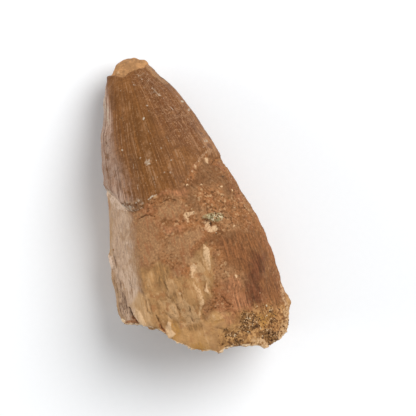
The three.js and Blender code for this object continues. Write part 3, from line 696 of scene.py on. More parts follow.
def root_relief(skin):
    """Sandy grain, pores and lumps on the bare root."""
    finish = skin.finish
    root = 1 - finish["enamel"] - finish["stub"]
    smooth = 0.75 * finish["purple_root"] + 0.6 * finish["facet"] + 0.5 * finish["golden"]
    smooth = smooth + 0.5 * finish["brown_root"]
    smooth = np.clip(smooth + 0.5 * finish["olive_root"] + 0.5 * finish["red_root"], 0, 0.85)
    grain = 0.05 * noise(skin.points, 0.38, 21) + 0.06 * noise(skin.points, 0.8, 22)
    lumps = 0.10 * noise(skin.points, 2.0, 23) + 0.12 * noise(skin.points, 4.5, 24)
    away, value = cells(skin.points, 0.8, 1)
    pores = -0.12 * (value > 0.80) * (1 - ramp(away, 0.10, 0.32))
    away, value = cells(skin.points, 0.45, 2)
    grains = 0.07 * (value > 0.5) * (1 - ramp(away, 0.15, 0.6))
    patchy = 0.3 + 0.7 * ramp(noise(skin.points, 3.5, 25), -0.35, 0.35)
    return root * ((1 - smooth) * (grain + patchy * (pores + grains)) + lumps)


def flake_relief(skin):
    """Layers of dentine broken back in plates along the root's fibres."""
    finish = skin.finish
    plates = 0.5 + 0.5 * skin.fibres(1.9, 5.5, 31) + 0.2 * skin.fibres(0.7, 2.5, 32)
    treads = 0.50 * terraces(plates, 3)
    fibre = 0.05 * skin.fibres(0.32, 4.0, 33)
    facet_plates = 0.5 + 0.5 * skin.fibres(1.4, 6.0, 34) + 0.15 * skin.fibres(0.6, 2.0, 35)
    frayed = ramp(-skin.along, 9.0, 15.0) + ramp(-skin.across, 11.6, 12.6) * ramp(-skin.along, 2.0, 6.0)
    facet_treads = 0.45 * terraces(facet_plates, 3) * np.clip(frayed, 0, 1)
    fibrous = finish["flaky"] + 0.6 * finish["golden"]
    return (
        finish["flaky"] * (treads - 0.25)
        + 0.4 * finish["golden"] * (treads - 0.25)
        + finish["facet"] * (facet_treads + fibre)
        + fibrous * fibre
    )


def crust_relief(skin):
    """Coarse sand grains that are cemented to the root."""
    away, value = cells(skin.points, 0.55, 3)
    grains = (0.10 + 0.35 * value) * (1 - ramp(away, 0.1, 0.75))
    lumps = 0.16 * noise(skin.points, 1.3, 41)
    green = 0.16 + 0.16 * value * (1 - ramp(away, 0.1, 0.7))
    return skin.finish["crust"] * (grains + lumps - 0.12) + skin.finish["green"] * green


def break_relief(skin):
    """The rough, ringed break through the root, its granular filling and its chipped rim."""
    rough = 0.32 * noise(skin.points, 1.6, 51) + 0.14 * noise(skin.points, 0.6, 52)
    away, value = cells(skin.points, 1.1, 5)
    holes = -0.35 * (value > 0.6) * (1 - ramp(away, 0.1, 0.45))
    beside = ramp(-skin.along, 13.0, 15.0) * (1 - skin.finish["break"])
    near_break = ramp(-skin.normals[:, 1], 0.15, 0.45) * beside
    away, value = cells(skin.points, 0.8, 7)
    filling = (0.24 * value - 0.22) * (1 - ramp(away, 0.2, 0.9)) - 0.22
    layered = 0.30 * terraces(skin.finish["rings"], 3) * (1 - skin.finish["pulp"])
    return (
        skin.finish["break"] * (rough + holes + layered)
        + skin.finish["pulp"] * filling
        + near_break * 0.18 * noise(skin.points, 1.2, 53)
    )


def stub_relief(skin):
    """The worn dentine of the tip, lower than the enamel round it, with a few pits."""
    worn = 0.14 * noise(skin.points, 1.3, 61) + 0.06 * noise(skin.points, 0.5, 62)
    away, value = cells(skin.points, 0.9, 6)
    pits = -0.12 * (value > 0.7) * (1 - ramp(away, 0.1, 0.4))
    lip = 0.16 * skin.tip_lip * ramp(-skin.across, 2.5, 4.5)
    return skin.finish["stub"] * (worn + pits - 0.10) + skin.finish["enamel"] * lip


class Marks:
    """What the drawn marks do to the skin: how far they move it, and how dark and how pale they make it."""

    def __init__(self, count):
        self.relief = np.zeros(count)
        self.dark = np.zeros(count)
        self.pale = np.zeros(count)

    def raise_by(self, height, paleness):
        """A mark that is pale and may stand up, as values at each point."""
        self.relief += height
        self.pale = np.maximum(self.pale, paleness)

    def sink(self, share, depth, darkness):
        """A mark that is cut in and painted dark, partly as shade in its depth, by a share at each point."""
        self.relief -= depth * share
        self.dark = np.maximum(self.dark, darkness * share)


def mark_plates(skin, marks, plan):
    """Flakes, lifted most on their right, and hollows."""
    fibre = 0.5 + 0.5 * skin.fibres(0.5, 3.0, 36)
    for outline, height, paleness in FLAKES:
        plate = skin.seen * patch(plan, outline, 0.12 if height > 0.1 else 0.22)
        across = [point[0] for point in outline]
        lifted = ramp(plan[:, 0], min(across) - 0.3, max(across))
        fibrous = np.clip(0.25 + 0.55 * lifted + 0.5 * fibre, 0, 1)
        marks.raise_by(height * plate * (0.15 + 0.85 * lifted), paleness * plate * fibrous)
    for outline, depth, darkness in HOLLOWS:
        marks.sink(skin.seen * patch(plan, outline, 0.3), depth, darkness)


def mark_lines(skin, marks):
    """Splits and scratches, which fade out in places."""
    plan = skin.plan(0.20, 0.9, 40)
    gaps = ramp(noise(skin.points, 0.8, 42), -0.75, 0.15)
    for path, width, depth, darkness in SPLITS:
        groove = skin.seen * tapered(plan, path, width) * (0.35 + 0.65 * gaps)
        marks.sink(groove, depth, darkness)
    for path, width, paleness in SCRATCHES:
        scratch = skin.seen * tapered(plan, path, width) * (0.55 + 0.45 * gaps)
        marks.raise_by(0.0, paleness * scratch)


def mark_spots(skin, marks, plan):
    """Chips, which keep to the level of the upper surface round them, and pits."""
    chipped = skin.plan(0.12, 0.35, 18)
    for across, along, half_across, half_along, height, paleness in CHIPS:
        away = np.hypot((chipped[:, 0] - across) / half_across, (chipped[:, 1] - along) / half_along)
        fallen = np.abs(skin.height - skin.top_at(across, along)) / max(half_across, half_along)
        chip = skin.seen * (1 - ramp(away, 0.55, 1.25)) * (1 - ramp(fallen, 1.2, 2.4))
        marks.raise_by(height * chip, paleness * chip)
    for across, along, half_across, half_along, depth, darkness in PITS:
        away = np.hypot((plan[:, 0] - across) / half_across, (plan[:, 1] - along) / half_along)
        marks.sink(skin.seen * (1 - ramp(away, 0.5, 1.3)), depth, darkness)


def mark_relief(skin):
    """Flakes, hollows, splits, scratches, chips and pits, which also darken or pale the surface."""
    marks = Marks(len(skin.points))
    plan = skin.plan(0.09, 0.6, 16)
    mark_plates(skin, marks, plan)
    mark_lines(skin, marks)
    mark_spots(skin, marks, plan)
    skin.finish["dark"] = marks.dark
    skin.finish["pale"] = marks.pale
    return marks.relief


def swell(skin):
    """Fills the outline out, or takes it in, from top to bottom."""
    relief = np.zeros(len(skin.points))
    for across, along, reach, amount in SWELLS:
        away = np.hypot(skin.across - across, skin.along - along) / reach
        relief += amount * np.exp(-(away**2))
    return relief


def carve(skin):
    """Sets out the zones, works out the relief of each, and stores both in the mesh."""
    for find in (find_enamel, find_break, find_facet, find_rim_highlight_and_flank_sheen, find_drawn_zones, find_sand):
        find(skin)
    relief = (
        enamel_relief(skin)
        + margin_relief(skin)
        + root_relief(skin)
        + flake_relief(skin)
        + crust_relief(skin)
        + break_relief(skin)
        + stub_relief(skin)
        + mark_relief(skin)
        + swell(skin)
    )
    skin.move(relief)
    skin.store()


# --- Meshes -------------------------------------------------------------------------------------------------


def add_piece(name, mesh):
    """A new object at the origin, with its place in its mesh."""
    piece = bpy.data.objects.new(name, mesh)
    bpy.context.scene.collection.objects.link(piece)
    return piece


def applied(piece):
    """The piece's mesh with its modifiers applied."""
    depsgraph = bpy.context.evaluated_depsgraph_get()
    mesh = bpy.data.meshes.new_from_object(piece.evaluated_get(depsgraph))
    piece.modifiers.clear()
    piece.data = mesh
    return mesh


def make_finer_above(mesh):
    """Halves the grid on the side that is seen, where the finest relief lies."""
    finer = bmesh.new()
    finer.from_mesh(mesh)
    level, fall = FINE_ABOVE
    fine = {vert for vert in finer.verts if vert.co.z > level * MM - fall * vert.co.y}
    seen = [edge for edge in finer.edges if fine.issuperset(edge.verts)]
    bmesh.ops.subdivide_edges(finer, edges=seen, cuts=1, use_grid_fill=True)
    bmesh.ops.smooth_vert(
        finer, verts=finer.verts, factor=0.5, use_axis_x=True, use_axis_y=True, use_axis_z=True
    )
    finer.normal_update()
    finer.to_mesh(mesh)
    finer.free()


def tooth_blank(size):
    """An even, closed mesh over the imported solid, finer on the side that is seen."""
    mesh = bpy.data.meshes.new("fossil_tooth")
    solid = bmesh.new()
    solid.from_mesh(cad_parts[NODE].data)
    bmesh.ops.remove_doubles(solid, verts=solid.verts, dist=0.001 * MM)
    solid.to_mesh(mesh)
    solid.free()
    piece = add_piece("fossil_tooth", mesh)
    remesh = piece.modifiers.new("even grid", "REMESH")
    remesh.mode = "VOXEL"
    remesh.voxel_size = size
    smooth = piece.modifiers.new("no facets", "SMOOTH")
    smooth.factor = 0.5
    smooth.iterations = 6
    make_finer_above(applied(piece))
    return piece


def sand_chances(tooth):
    """How likely a grain is to lie on each point of the tooth. None lies on its sides or its underside."""
    want = np.full(len(tooth.vertices), LOOSE_SAND)
    for name, share in SAND_SHARES.items():
        values = np.empty(len(want), dtype=np.float32)
        tooth.attributes[name].data.foreach_get("value", values)
        want += share * values**2
    normals = np.empty(3 * len(want))
    tooth.vertices.foreach_get("normal", normals)
    want *= ramp(normals[2::3], 0.1, 0.5)
    return want / want.sum()


def sand_mesh(tooth, radius, count):
    """Small angular grains half sunk in the crust, joined in one mesh, each with its own tone."""
    grains = bmesh.new()
    tone = grains.verts.layers.float.new("tone")
    chances = sand_chances(tooth)
    for number in RANDOM.choice(len(chances), size=count, replace=False, p=chances):
        size = radius * RANDOM.uniform(0.6, 1.3)
        made = bmesh.ops.create_icosphere(grains, subdivisions=1, radius=size)["verts"]
        stretch = Vector(RANDOM.uniform(0.7, 1.3, 3))
        bmesh.ops.scale(grains, vec=stretch, verts=made)
        turn = Vector(RANDOM.normal(size=3)).normalized().to_track_quat("Z", "Y").to_matrix()
        bmesh.ops.rotate(grains, verts=made, matrix=turn)
        under = tooth.vertices[number]
        place = under.co + under.normal * size * RANDOM.uniform(-0.45, 0.15)
        bmesh.ops.translate(grains, verts=made, vec=place)
        shade = RANDOM.random()
        for vert in made:
            vert[tone] = shade
    mesh = bpy.data.meshes.new("sand_grains")
    grains.to_mesh(mesh)
    grains.free()
    return mesh


# --- Materials ----------------------------------------------------------------------------------------------


def scaled(colour, share):
    """The colour made darker, or lighter by a share above 1."""
    return tuple(share * part for part in colour)


class Finish:
    """A material's nodes, added one after another in the order in which the finish is built up."""

    def __init__(self, name):
        self.material = bpy.data.materials.new(name)
        self.material.use_nodes = True
        self.tree = self.material.node_tree
        self.tree.nodes.clear()
        output = self.tree.nodes.new("ShaderNodeOutputMaterial")
        self.shader = self.tree.nodes.new("ShaderNodeBsdfPrincipled")
        self.tree.links.new(self.shader.outputs[0], output.inputs["Surface"])
        self.place = self.times(self.tree.nodes.new("ShaderNodeTexCoord").outputs["Object"], 1 / MM)

    def put(self, kind, values, **settings):
        """A new node. Values that are sockets are linked to it and the others are set on it."""
        node = self.tree.nodes.new(kind)
        for name, value in settings.items():
            setattr(node, name, value)
        for name, value in values.items():
            socket = node.inputs[name]
            if isinstance(value, bpy.types.NodeSocket):
                self.tree.links.new(value, socket)
            else:
                socket.default_value = value
        return node

    def mask(self, name):
        """The values from 0 to 1 that the mesh holds under a name."""
        return self.put("ShaderNodeAttribute", {}, attribute_name=name).outputs["Fac"]

    def times(self, vector, number):
        """The vector made longer or shorter."""
        return self.put("ShaderNodeVectorMath", {0: vector, "Scale": number}, operation="SCALE").outputs[0]

    def stretched(self, vector, scale, turn=0.0):
        """The vector turned about the height, then scaled."""
        turned = self.put("ShaderNodeMapping", {"Vector": vector, "Rotation": (0.0, 0.0, turn)}).outputs[0]
        return self.put("ShaderNodeMapping", {"Vector": turned, "Scale": scale}).outputs[0]

    def noise(self, size, detail, rough=0.55, vector=None, warp=0.0):
        """Smooth noise from 0 to 1 with lumps of a size in millimetres."""
        values = {
            "Vector": vector or self.place,
            "Scale": 1 / size,
            "Detail": detail,
            "Roughness": rough,
            "Distortion": warp,
        }
        return self.put("ShaderNodeTexNoise", values).outputs["Fac"]

    def spots(self, size, output="Distance", vector=None):
        """The distance to the nearest of scattered spots, or a colour of that spot's own."""
        values = {"Vector": vector or self.place, "Scale": 1 / size}
        return self.put("ShaderNodeTexVoronoi", values).outputs[output]

    def tone(self, colour, channel):
        """One channel of a colour, as a value."""
        return self.put("ShaderNodeSeparateColor", {"Color": colour}).outputs[channel]

    def sum(self, operation, *terms, clamp=True):
        """A sum on values, kept from 0 to 1 unless told not to."""
        values = dict(enumerate(terms))
        return self.put("ShaderNodeMath", values, operation=operation, use_clamp=clamp).outputs[0]

    def product(self, one, other):
        """Two values multiplied, kept from 0 to 1."""
        return self.sum("MULTIPLY", one, other)

    def scattered(self, size, amount):
        """A shift of up to about half the amount, for bending a pattern's edges."""
        shift = self.put("ShaderNodeTexNoise", {"Vector": self.place, "Scale": 1 / size}).outputs["Color"]
        values = {0: shift, 1: (0.5, 0.5, 0.5)}
        centred = self.put("ShaderNodeVectorMath", values, operation="SUBTRACT").outputs[0]
        return self.times(centred, 2 * amount)

    def specks(self, size, radius, rarity):
        """Small dots, in the cells of a lattice whose tone is above the rarity."""
        near = self.between(self.spots(size), radius / size, 0.5 * radius / size)
        tone = self.tone(self.spots(size, output="Color"), 1)
        return self.product(near, self.sum("GREATER_THAN", tone, rarity))

    def broken(self, mask, pattern, amount):
        """A mask whose edge follows a pattern, and which stays empty where it was."""
        swing = self.sum("MULTIPLY_ADD", pattern, amount, 1 - 0.5 * amount, clamp=False)
        return self.product(mask, swing)

    def between(self, value, low, high, top=1.0):
        """A smooth rise from 0 where the value is low to the top where it is high."""
        values = {"Value": value, "From Min": low, "From Max": high, "To Min": 0.0, "To Max": top}
        return self.put("ShaderNodeMapRange", values, interpolation_type="SMOOTHSTEP").outputs[0]

    def tint(self, under, colour, share):
        """Lays a colour over another by a share from 0 to 1."""
        node = self.put("ShaderNodeMix", {}, data_type="RGBA")
        for index, value in ((0, share), (6, under), (7, colour)):
            if isinstance(value, bpy.types.NodeSocket):
                self.tree.links.new(value, node.inputs[index])
            else:
                node.inputs[index].default_value = value if index == 0 else (*value, 1.0)
        return node.outputs[2]

    def coats(self, under, *coats):
        """Lays colours on in turn. Each has a value to follow, where it begins and is full, and a share."""
        for colour, value, low, high, share in coats:
            under = self.tint(under, colour, self.between(value, low, high, share))
        return under

    def zone(self, under, name, colour, share):
        """Lays a colour over one zone by a share, which may itself be a pattern."""
        return self.tint(under, colour, self.product(self.mask(name), share))

    def ragged_zone(self, under, name, colour, pattern, amount, limits):
        """Lays a colour over one zone whose edge a pattern breaks up. The limits are low, high and share."""
        ragged = self.broken(self.mask(name), pattern, amount)
        return self.tint(under, colour, self.between(ragged, *limits))

    def shades(self, value, *stops):
        """Colours along a value: each stop is where, and its colour."""
        node = self.put("ShaderNodeValToRGB", {"Fac": value})
        elements = node.color_ramp.elements
        while len(elements) < len(stops):
            elements.new(0.5)
        for element, (where, colour) in zip(elements, stops):
            element.position = where
            element.color = (*colour, 1.0)
        return node.outputs["Color"]

    def surface(self, colour, roughness, specular):
        """Sets the material's colour, and its roughness and shine as values or patterns."""
        values = {"Base Color": colour, "Roughness": roughness, "Specular IOR Level": specular}
        for name, value in values.items():
            if isinstance(value, bpy.types.NodeSocket):
                self.tree.links.new(value, self.shader.inputs[name])
            else:
                self.shader.inputs[name].default_value = value


class ToothFinish(Finish):
    """The tooth's material, with the patterns that several of its colours follow."""

    def __init__(self):
        super().__init__("fossil_enamel_and_dentine")
        growth = self.put("ShaderNodeAttribute", {}, attribute_name="growth").outputs["Vector"]
        self.streaks = self.noise(1.0, 2.5, 0.6, self.stretched(growth, (26.0, 26.0, 5.0)))
        self.striae = self.noise(1.0, 1.5, 0.6, self.stretched(growth, (48.0, 48.0, 9.0)))
        self.clouds = self.noise(4.0, 3.0, 0.55)
        self.blotches = self.noise(2.0, 3.0, 0.6, warp=0.6)
        self.mottle = self.noise(1.2, 4.0, 0.6)
        self.fine = self.noise(0.32, 3.0, 0.65)
        self.curls = self.noise(0.9, 2.0, 0.5, warp=1.5)
        self.grain_tone = self.tone(self.spots(0.36, output="Color"), 0)
        self.dots = self.specks(0.6, 0.13, 0.88)
        self.fibres = self.noise(1.0, 4.0, 0.62, self.stretched(self.place, (2.6, 0.34, 2.6)))
        self.hairs = self.noise(1.0, 2.0, 0.6, self.stretched(self.place, (3.6, 0.36, 3.6)))
        slanting = self.stretched(self.place, (0.45, 1.5, 1.5), turn=math.radians(25))
        self.layers = self.noise(1.0, 3.0, 0.6, slanting)


def tooth_finish(colours):
    """Brown enamel with fine striae, sandy and flaking root, and the marks of splits and chips."""
    paint = ToothFinish()
    colour = paint.tint(root_colour(paint, colours), enamel_colour(paint, colours), paint.mask("enamel"))
    colour = paint.tint(colour, stub_colour(paint, colours), paint.mask("stub"))
    colour = with_marks(paint, colours, colour)

    sides = {0: paint.mask("enamel"), 2: 0.75, 3: 0.45}
    rough = paint.put("ShaderNodeMix", sides, data_type="FLOAT").outputs[0]
    uneven = paint.sum("MULTIPLY_ADD", paint.fine, 0.35, paint.sum("SUBTRACT", rough, 0.17))
    paint.surface(colour, uneven, 0.12)
    small = paint.sum("MULTIPLY_ADD", paint.striae, 0.4, paint.product(paint.fine, 0.6))
    bump = paint.put("ShaderNodeBump", {"Strength": 0.8, "Distance": 0.14 * MM, "Height": small})
    paint.tree.links.new(bump.outputs[0], paint.shader.inputs["Normal"])
    return paint.material


def root_colour(paint, colours):
    """Everything below the enamel, zone over zone."""
    bare = sandy_root_colour(paint, colours)
    bare = paint.zone(bare, "flaky", flaky_colour(paint, colours), 0.92)
    golden = golden_colour(paint, colours)
    bare = paint.tint(bare, golden, paint.mask("golden"))
    for name, colour, share in (
        ("olive_root", colours.olive, 0.85),
        ("brown_root", colours.brown, 0.80),
        ("red_root", colours.red, 0.80),
        ("purple_root", colours.purple, 0.90),
    ):
        patch_colour = smooth_colour(paint, colour)
        bare = paint.ragged_zone(bare, name, patch_colour, paint.mottle, 1.6, (0.0, 1.1, share))
    bare = paint.tint(bare, facet_colour(paint, colours), paint.mask("facet"))
    bare = paint.zone(bare, "golden_chip", golden, 0.85)
    stops = ((0.36, colours.golden), (0.5, colours.flakes_tan), (0.68, colours.flakes_pale))
    bare = paint.zone(bare, "golden_facet", paint.shades(paint.fibres, *stops), 0.85)
    bare = paint.tint(bare, break_colour(paint, colours), paint.mask("break"))
    return with_base(paint, colours, bare)


def sandy_root_colour(paint, colours):
    """The bare root: mottled, specked with grains, and tan where its skin is smooth."""
    root = colours.root
    bare = paint.shades(paint.mottle, (0.36, scaled(root, 0.76)), (0.5, root), (0.64, scaled(root, 1.22)))
    bare = paint.coats(
        bare,
        (scaled(root, 0.70), paint.blotches, 0.46, 0.36, 0.6),
        (colours.tan, paint.blotches, 0.54, 0.66, 0.5),
        (colours.root_red, paint.clouds, 0.5, 0.62, 0.6),
        (colours.tan, paint.clouds, 0.48, 0.38, 0.45),
        (scaled(root, 0.40), paint.fine, 0.47, 0.34, 0.75),
        (colours.root_pale, paint.fine, 0.54, 0.67, 0.68),
    )
    sandy = paint.between(paint.blotches, 0.40, 0.56)
    sparkly = paint.mask("sparkly")
    for where, colour, low, high, share in (
        (sandy, colours.flakes_pale, 0.86, 0.97, 0.42),
        (sandy, scaled(root, 0.35), 0.16, 0.04, 0.6),
        (sparkly, colours.flakes_pale, 0.84, 0.96, 0.18),
        (sparkly, scaled(root, 0.35), 0.24, 0.10, 0.35),
    ):
        grains = paint.between(paint.grain_tone, low, high, share)
        bare = paint.tint(bare, colour, paint.product(where, grains))
    bare = paint.zone(bare, "sparkly", colours.quartz, paint.product(paint.dots, 0.8))
    bare = paint.zone(bare, "dim_root", scaled(root, 0.42), 0.5)
    dark, light = scaled(colours.tan, 0.8), scaled(colours.tan, 1.25)
    tan = paint.shades(paint.fine, (0.38, dark), (0.5, scaled(colours.tan, 0.97)), (0.64, light))
    tan = paint.coats(tan, (colours.root_red, paint.fibres, 0.50, 0.38, 0.6))
    return paint.ragged_zone(bare, "tan_root", tan, paint.mottle, 2.0, (0.2, 0.9, 0.85))


def flaky_colour(paint, colours):
    """Layers of dentine, each broken plate of one tone, with brown and olive between them."""
    flakes = colours.flakes
    shift = {0: paint.place, 1: paint.scattered(1.2, 0.9)}
    bent = paint.put("ShaderNodeVectorMath", shift, operation="ADD").outputs[0]
    plates = paint.spots(1.0, output="Color", vector=paint.stretched(bent, (0.50, 0.20, 0.50)))
    stops = ((0.1, scaled(flakes, 0.78)), (0.5, flakes), (0.9, colours.flakes_tan))
    return paint.coats(
        paint.shades(paint.tone(plates, 0), *stops),
        (scaled(flakes, 0.70), paint.fibres, 0.47, 0.34, 0.60),
        (colours.flakes_pale, paint.fibres, 0.54, 0.68, 0.60),
        (scaled(colours.root, 1.15), paint.mottle, 0.53, 0.63, 0.60),
        (colours.olive, paint.clouds, 0.48, 0.38, 0.5),
        (scaled(flakes, 0.45), paint.fine, 0.45, 0.33, 0.5),
    )


def golden_colour(paint, colours):
    """The layered tan dentine along the base."""
    golden = colours.golden
    return paint.coats(
        paint.shades(paint.layers, (0.36, scaled(golden, 0.82)), (0.5, golden), (0.68, colours.flakes)),
        (scaled(golden, 0.75), paint.fibres, 0.47, 0.35, 0.5),
        (colours.flakes_pale, paint.fibres, 0.56, 0.70, 0.5),
        (colours.tan, paint.clouds, 0.50, 0.60, 0.6),
        (colours.root, paint.mottle, 0.54, 0.66, 0.4),
        (scaled(golden, 0.55), paint.fine, 0.44, 0.32, 0.4),
    )


def smooth_colour(paint, colour):
    """A smooth patch of the root in one colour, with fibres along it."""
    return paint.coats(
        paint.shades(paint.mottle, (0.36, scaled(colour, 0.82)), (0.5, colour), (0.64, scaled(colour, 1.2))),
        (scaled(colour, 0.68), paint.fibres, 0.47, 0.35, 0.7),
        (scaled(colour, 1.45), paint.fibres, 0.53, 0.66, 0.7),
        (scaled(colour, 0.50), paint.hairs, 0.50, 0.36, 0.8),
        (scaled(colour, 1.85), paint.hairs, 0.52, 0.66, 0.7),
        (scaled(colour, 0.50), paint.fine, 0.46, 0.34, 0.45),
        (scaled(colour, 1.50), paint.fine, 0.55, 0.67, 0.35),
    )


def facet_colour(paint, colours):
    """The pinkish, fibrous dentine of the facet, tan towards both its edges, its pale pink partly a painted
    sheen.
    """
    facet = colours.facet
    pink = paint.coats(
        paint.shades(paint.fibres, (0.34, scaled(facet, 0.68)), (0.5, facet), (0.66, colours.facet_pale)),
        (colours.tan, paint.mottle, 0.52, 0.66, 0.5),
        (scaled(colours.tan, 0.95), paint.clouds, 0.46, 0.59, 0.70),
        (scaled(facet, 0.58), paint.hairs, 0.48, 0.36, 0.68),
    )
    pink = paint.zone(pink, "pale_facet", colours.facet_pale, paint.between(paint.fibres, 0.36, 0.56, 0.95))
    edge = paint.product(paint.mask("facet_edge"), paint.between(paint.fibres, 0.34, 0.54, 0.90))
    pink = paint.tint(pink, scaled(colours.flakes_tan, 0.80), edge)
    patchy_edge = paint.product(edge, paint.between(paint.mottle, 0.54, 0.68, 0.6))
    pink = paint.tint(pink, scaled(colours.root_pale, 0.60), patchy_edge)
    pink = paint.zone(pink, "stained_facet", colours.root_red, paint.between(paint.mottle, 0.36, 0.56, 0.7))
    return paint.coats(
        pink,
        (scaled(facet, 0.45), paint.fine, 0.45, 0.32, 0.5),
        (colours.facet_pale, paint.fine, 0.56, 0.68, 0.4),
    )


def break_colour(paint, colours):
    """The face of the break: growth rings round the sand that fills the pulp cavity."""
    root = colours.root
    stops = ((0.20, root), (0.5, scaled(colours.flakes, 0.85)), (0.8, scaled(colours.golden, 0.9)))
    rings = paint.coats(
        paint.shades(paint.mask("rings"), *stops),
        (scaled(root, 0.8), paint.mottle, 0.52, 0.66, 0.5),
        (colours.flakes_pale, paint.blotches, 0.46, 0.34, 0.45),
        (scaled(root, 0.35), paint.fine, 0.46, 0.34, 0.55),
        (colours.flakes_pale, paint.fine, 0.55, 0.67, 0.45),
    )
    stops = ((0.05, scaled(root, 0.45)), (0.5, colours.filling), (0.95, colours.base_pale))
    filling = paint.shades(paint.grain_tone, *stops)
    filling = paint.coats(filling, (scaled(root, 0.35), paint.fine, 0.46, 0.34, 0.6))
    return paint.tint(rings, filling, paint.mask("pulp"))


def with_base(paint, colours, bare):
    """Adds the pale rim and its painted highlight, pits, sand, pale corners, honey, rust and crust low on the
    root.
    """
    root = colours.root
    # Cream of the chipped rim, with a painted highlight along the outline.
    cream_and_highlight = paint.shades(paint.fine, (0.36, colours.chip), (0.62, colours.cream_and_highlight))
    bare = paint.ragged_zone(bare, "pale_rim", cream_and_highlight, paint.mottle, 2.0, (0.10, 0.75, 0.92))
    dashes = paint.noise(0.34, 2.0, 0.5, paint.stretched(paint.place, (1.0, 0.45, 1.0)))
    bare = paint.zone(bare, "pitted", scaled(root, 0.35), paint.between(dashes, 0.50, 0.40, 0.55))
    stops = ((0.05, scaled(root, 0.55)), (0.5, colours.sand), (0.95, scaled(colours.golden, 1.15)))
    sand = paint.shades(paint.grain_tone, *stops)
    sand = paint.coats(sand, (scaled(root, 0.35), paint.fine, 0.46, 0.34, 0.6))
    bare = paint.zone(bare, "sandy_base", sand, 0.75)
    stops = ((0.36, scaled(colours.base_pale, 0.75)), (0.5, colours.base_pale), (0.64, colours.chip))
    pale = paint.shades(paint.fine, *stops)
    bare = paint.ragged_zone(bare, "pale_base", pale, paint.mottle, 1.6, (0.1, 1.0, 0.8))
    bare = paint.zone(bare, "honey", colours.gold, paint.between(paint.fine, 0.36, 0.56, 0.85))
    stops = ((0.38, scaled(colours.rust, 0.5)), (0.5, colours.rust), (0.64, scaled(colours.rust, 1.6)))
    rust = paint.shades(paint.fine, *stops)
    bare = paint.ragged_zone(bare, "rust", rust, paint.mottle, 1.6, (0.10, 0.80, 0.90))
    stops = ((0.1, scaled(root, 0.32)), (0.45, scaled(colours.sand, 0.9)), (0.9, scaled(colours.golden, 1.1)))
    crust = paint.shades(paint.grain_tone, *stops)
    crust = paint.coats(crust, (scaled(root, 0.25), paint.blotches, 0.48, 0.36, 0.5))
    return paint.tint(bare, crust, paint.mask("crust"))


def enamel_colour(paint, colours):
    """Brown enamel: cloudy, finely streaked towards the tip, scuffed, and paler on its flank and rim."""
    enamel = colours.enamel
    stops = ((0.38, scaled(enamel, 0.88)), (0.5, enamel), (0.62, colours.enamel_light))
    crown = paint.shades(paint.clouds, *stops)
    crown = paint.zone(crown, "olive_crown", colours.enamel_olive, 0.75)
    crown = paint.zone(crown, "violet_crown", colours.enamel_violet, 0.7)
    crown = paint.coats(
        crown,
        (scaled(enamel, 0.60), paint.mottle, 0.46, 0.34, 0.40),
        (colours.enamel_light, paint.mottle, 0.54, 0.66, 0.55),
    )
    # The painted highlight on the crown's right-facing edge.
    crown = paint.zone(crown, "rim", colours.rim, paint.between(paint.mottle, 0.36, 0.60, 0.8))
    crown = paint.ragged_zone(crown, "worn_crown", colours.worn, paint.mottle, 2.4, (0.15, 0.85, 0.60))
    bare_edge = paint.shades(paint.striae, (0.40, scaled(colours.stub, 0.70)), (0.54, colours.stub))
    crown = paint.ragged_zone(crown, "tan_crown", bare_edge, paint.mottle, 1.8, (0.1, 0.7, 0.9))
    # A painted sheen on the crown's left flank, broken up by mottle and striae.
    sheen = paint.sum("MULTIPLY_ADD", paint.mottle, 0.6, paint.product(paint.striae, 0.4))
    crown = paint.zone(crown, "flank_sheen", colours.flank_sheen, paint.between(sheen, 0.32, 0.60, 0.88))
    # More painted sheen, in pale streaks on the crown's left flank.
    streaky = paint.between(paint.striae, 0.40, 0.62, 0.80)
    crown = paint.zone(crown, "sheen_crown", scaled(colours.flank_sheen, 1.38), streaky)
    crown = paint.coats(
        crown,
        (scaled(enamel, 0.60), paint.streaks, 0.45, 0.33, 0.45),
        (scaled(colours.enamel_light, 1.2), paint.streaks, 0.53, 0.66, 0.42),
        (scaled(enamel, 0.55), paint.striae, 0.48, 0.37, 0.42),
    )
    pale_lines = paint.between(paint.striae, 0.54, 0.66, 0.52)
    gaps = paint.between(paint.mottle, 0.40, 0.56)
    crown = paint.tint(crown, colours.stria, paint.product(pale_lines, gaps))
    from_curl = paint.sum("ABSOLUTE", paint.sum("SUBTRACT", paint.curls, 0.5, clamp=False))
    crown = paint.zone(crown, "violet_crown", colours.stria, paint.between(from_curl, 0.030, 0.0, 0.85))
    crown = paint.coats(
        crown,
        (scaled(enamel, 0.45), paint.fine, 0.46, 0.34, 0.52),
        (colours.stria, paint.fine, 0.57, 0.69, 0.42),
    )
    scattered_dots = paint.product(paint.dots, paint.between(paint.mottle, 0.50, 0.62, 0.5))
    return paint.tint(crown, colours.chip_grey, scattered_dots)


def stub_colour(paint, colours):
    """The worn, mottled dentine of the tip."""
    stub = colours.stub
    return paint.coats(
        paint.shades(paint.mottle, (0.38, scaled(stub, 0.8)), (0.5, stub), (0.62, scaled(stub, 1.2))),
        (colours.tan, paint.blotches, 0.52, 0.64, 0.6),
        (scaled(stub, 0.55), paint.fine, 0.46, 0.34, 0.5),
        (scaled(stub, 1.6), paint.fine, 0.56, 0.68, 0.5),
    )


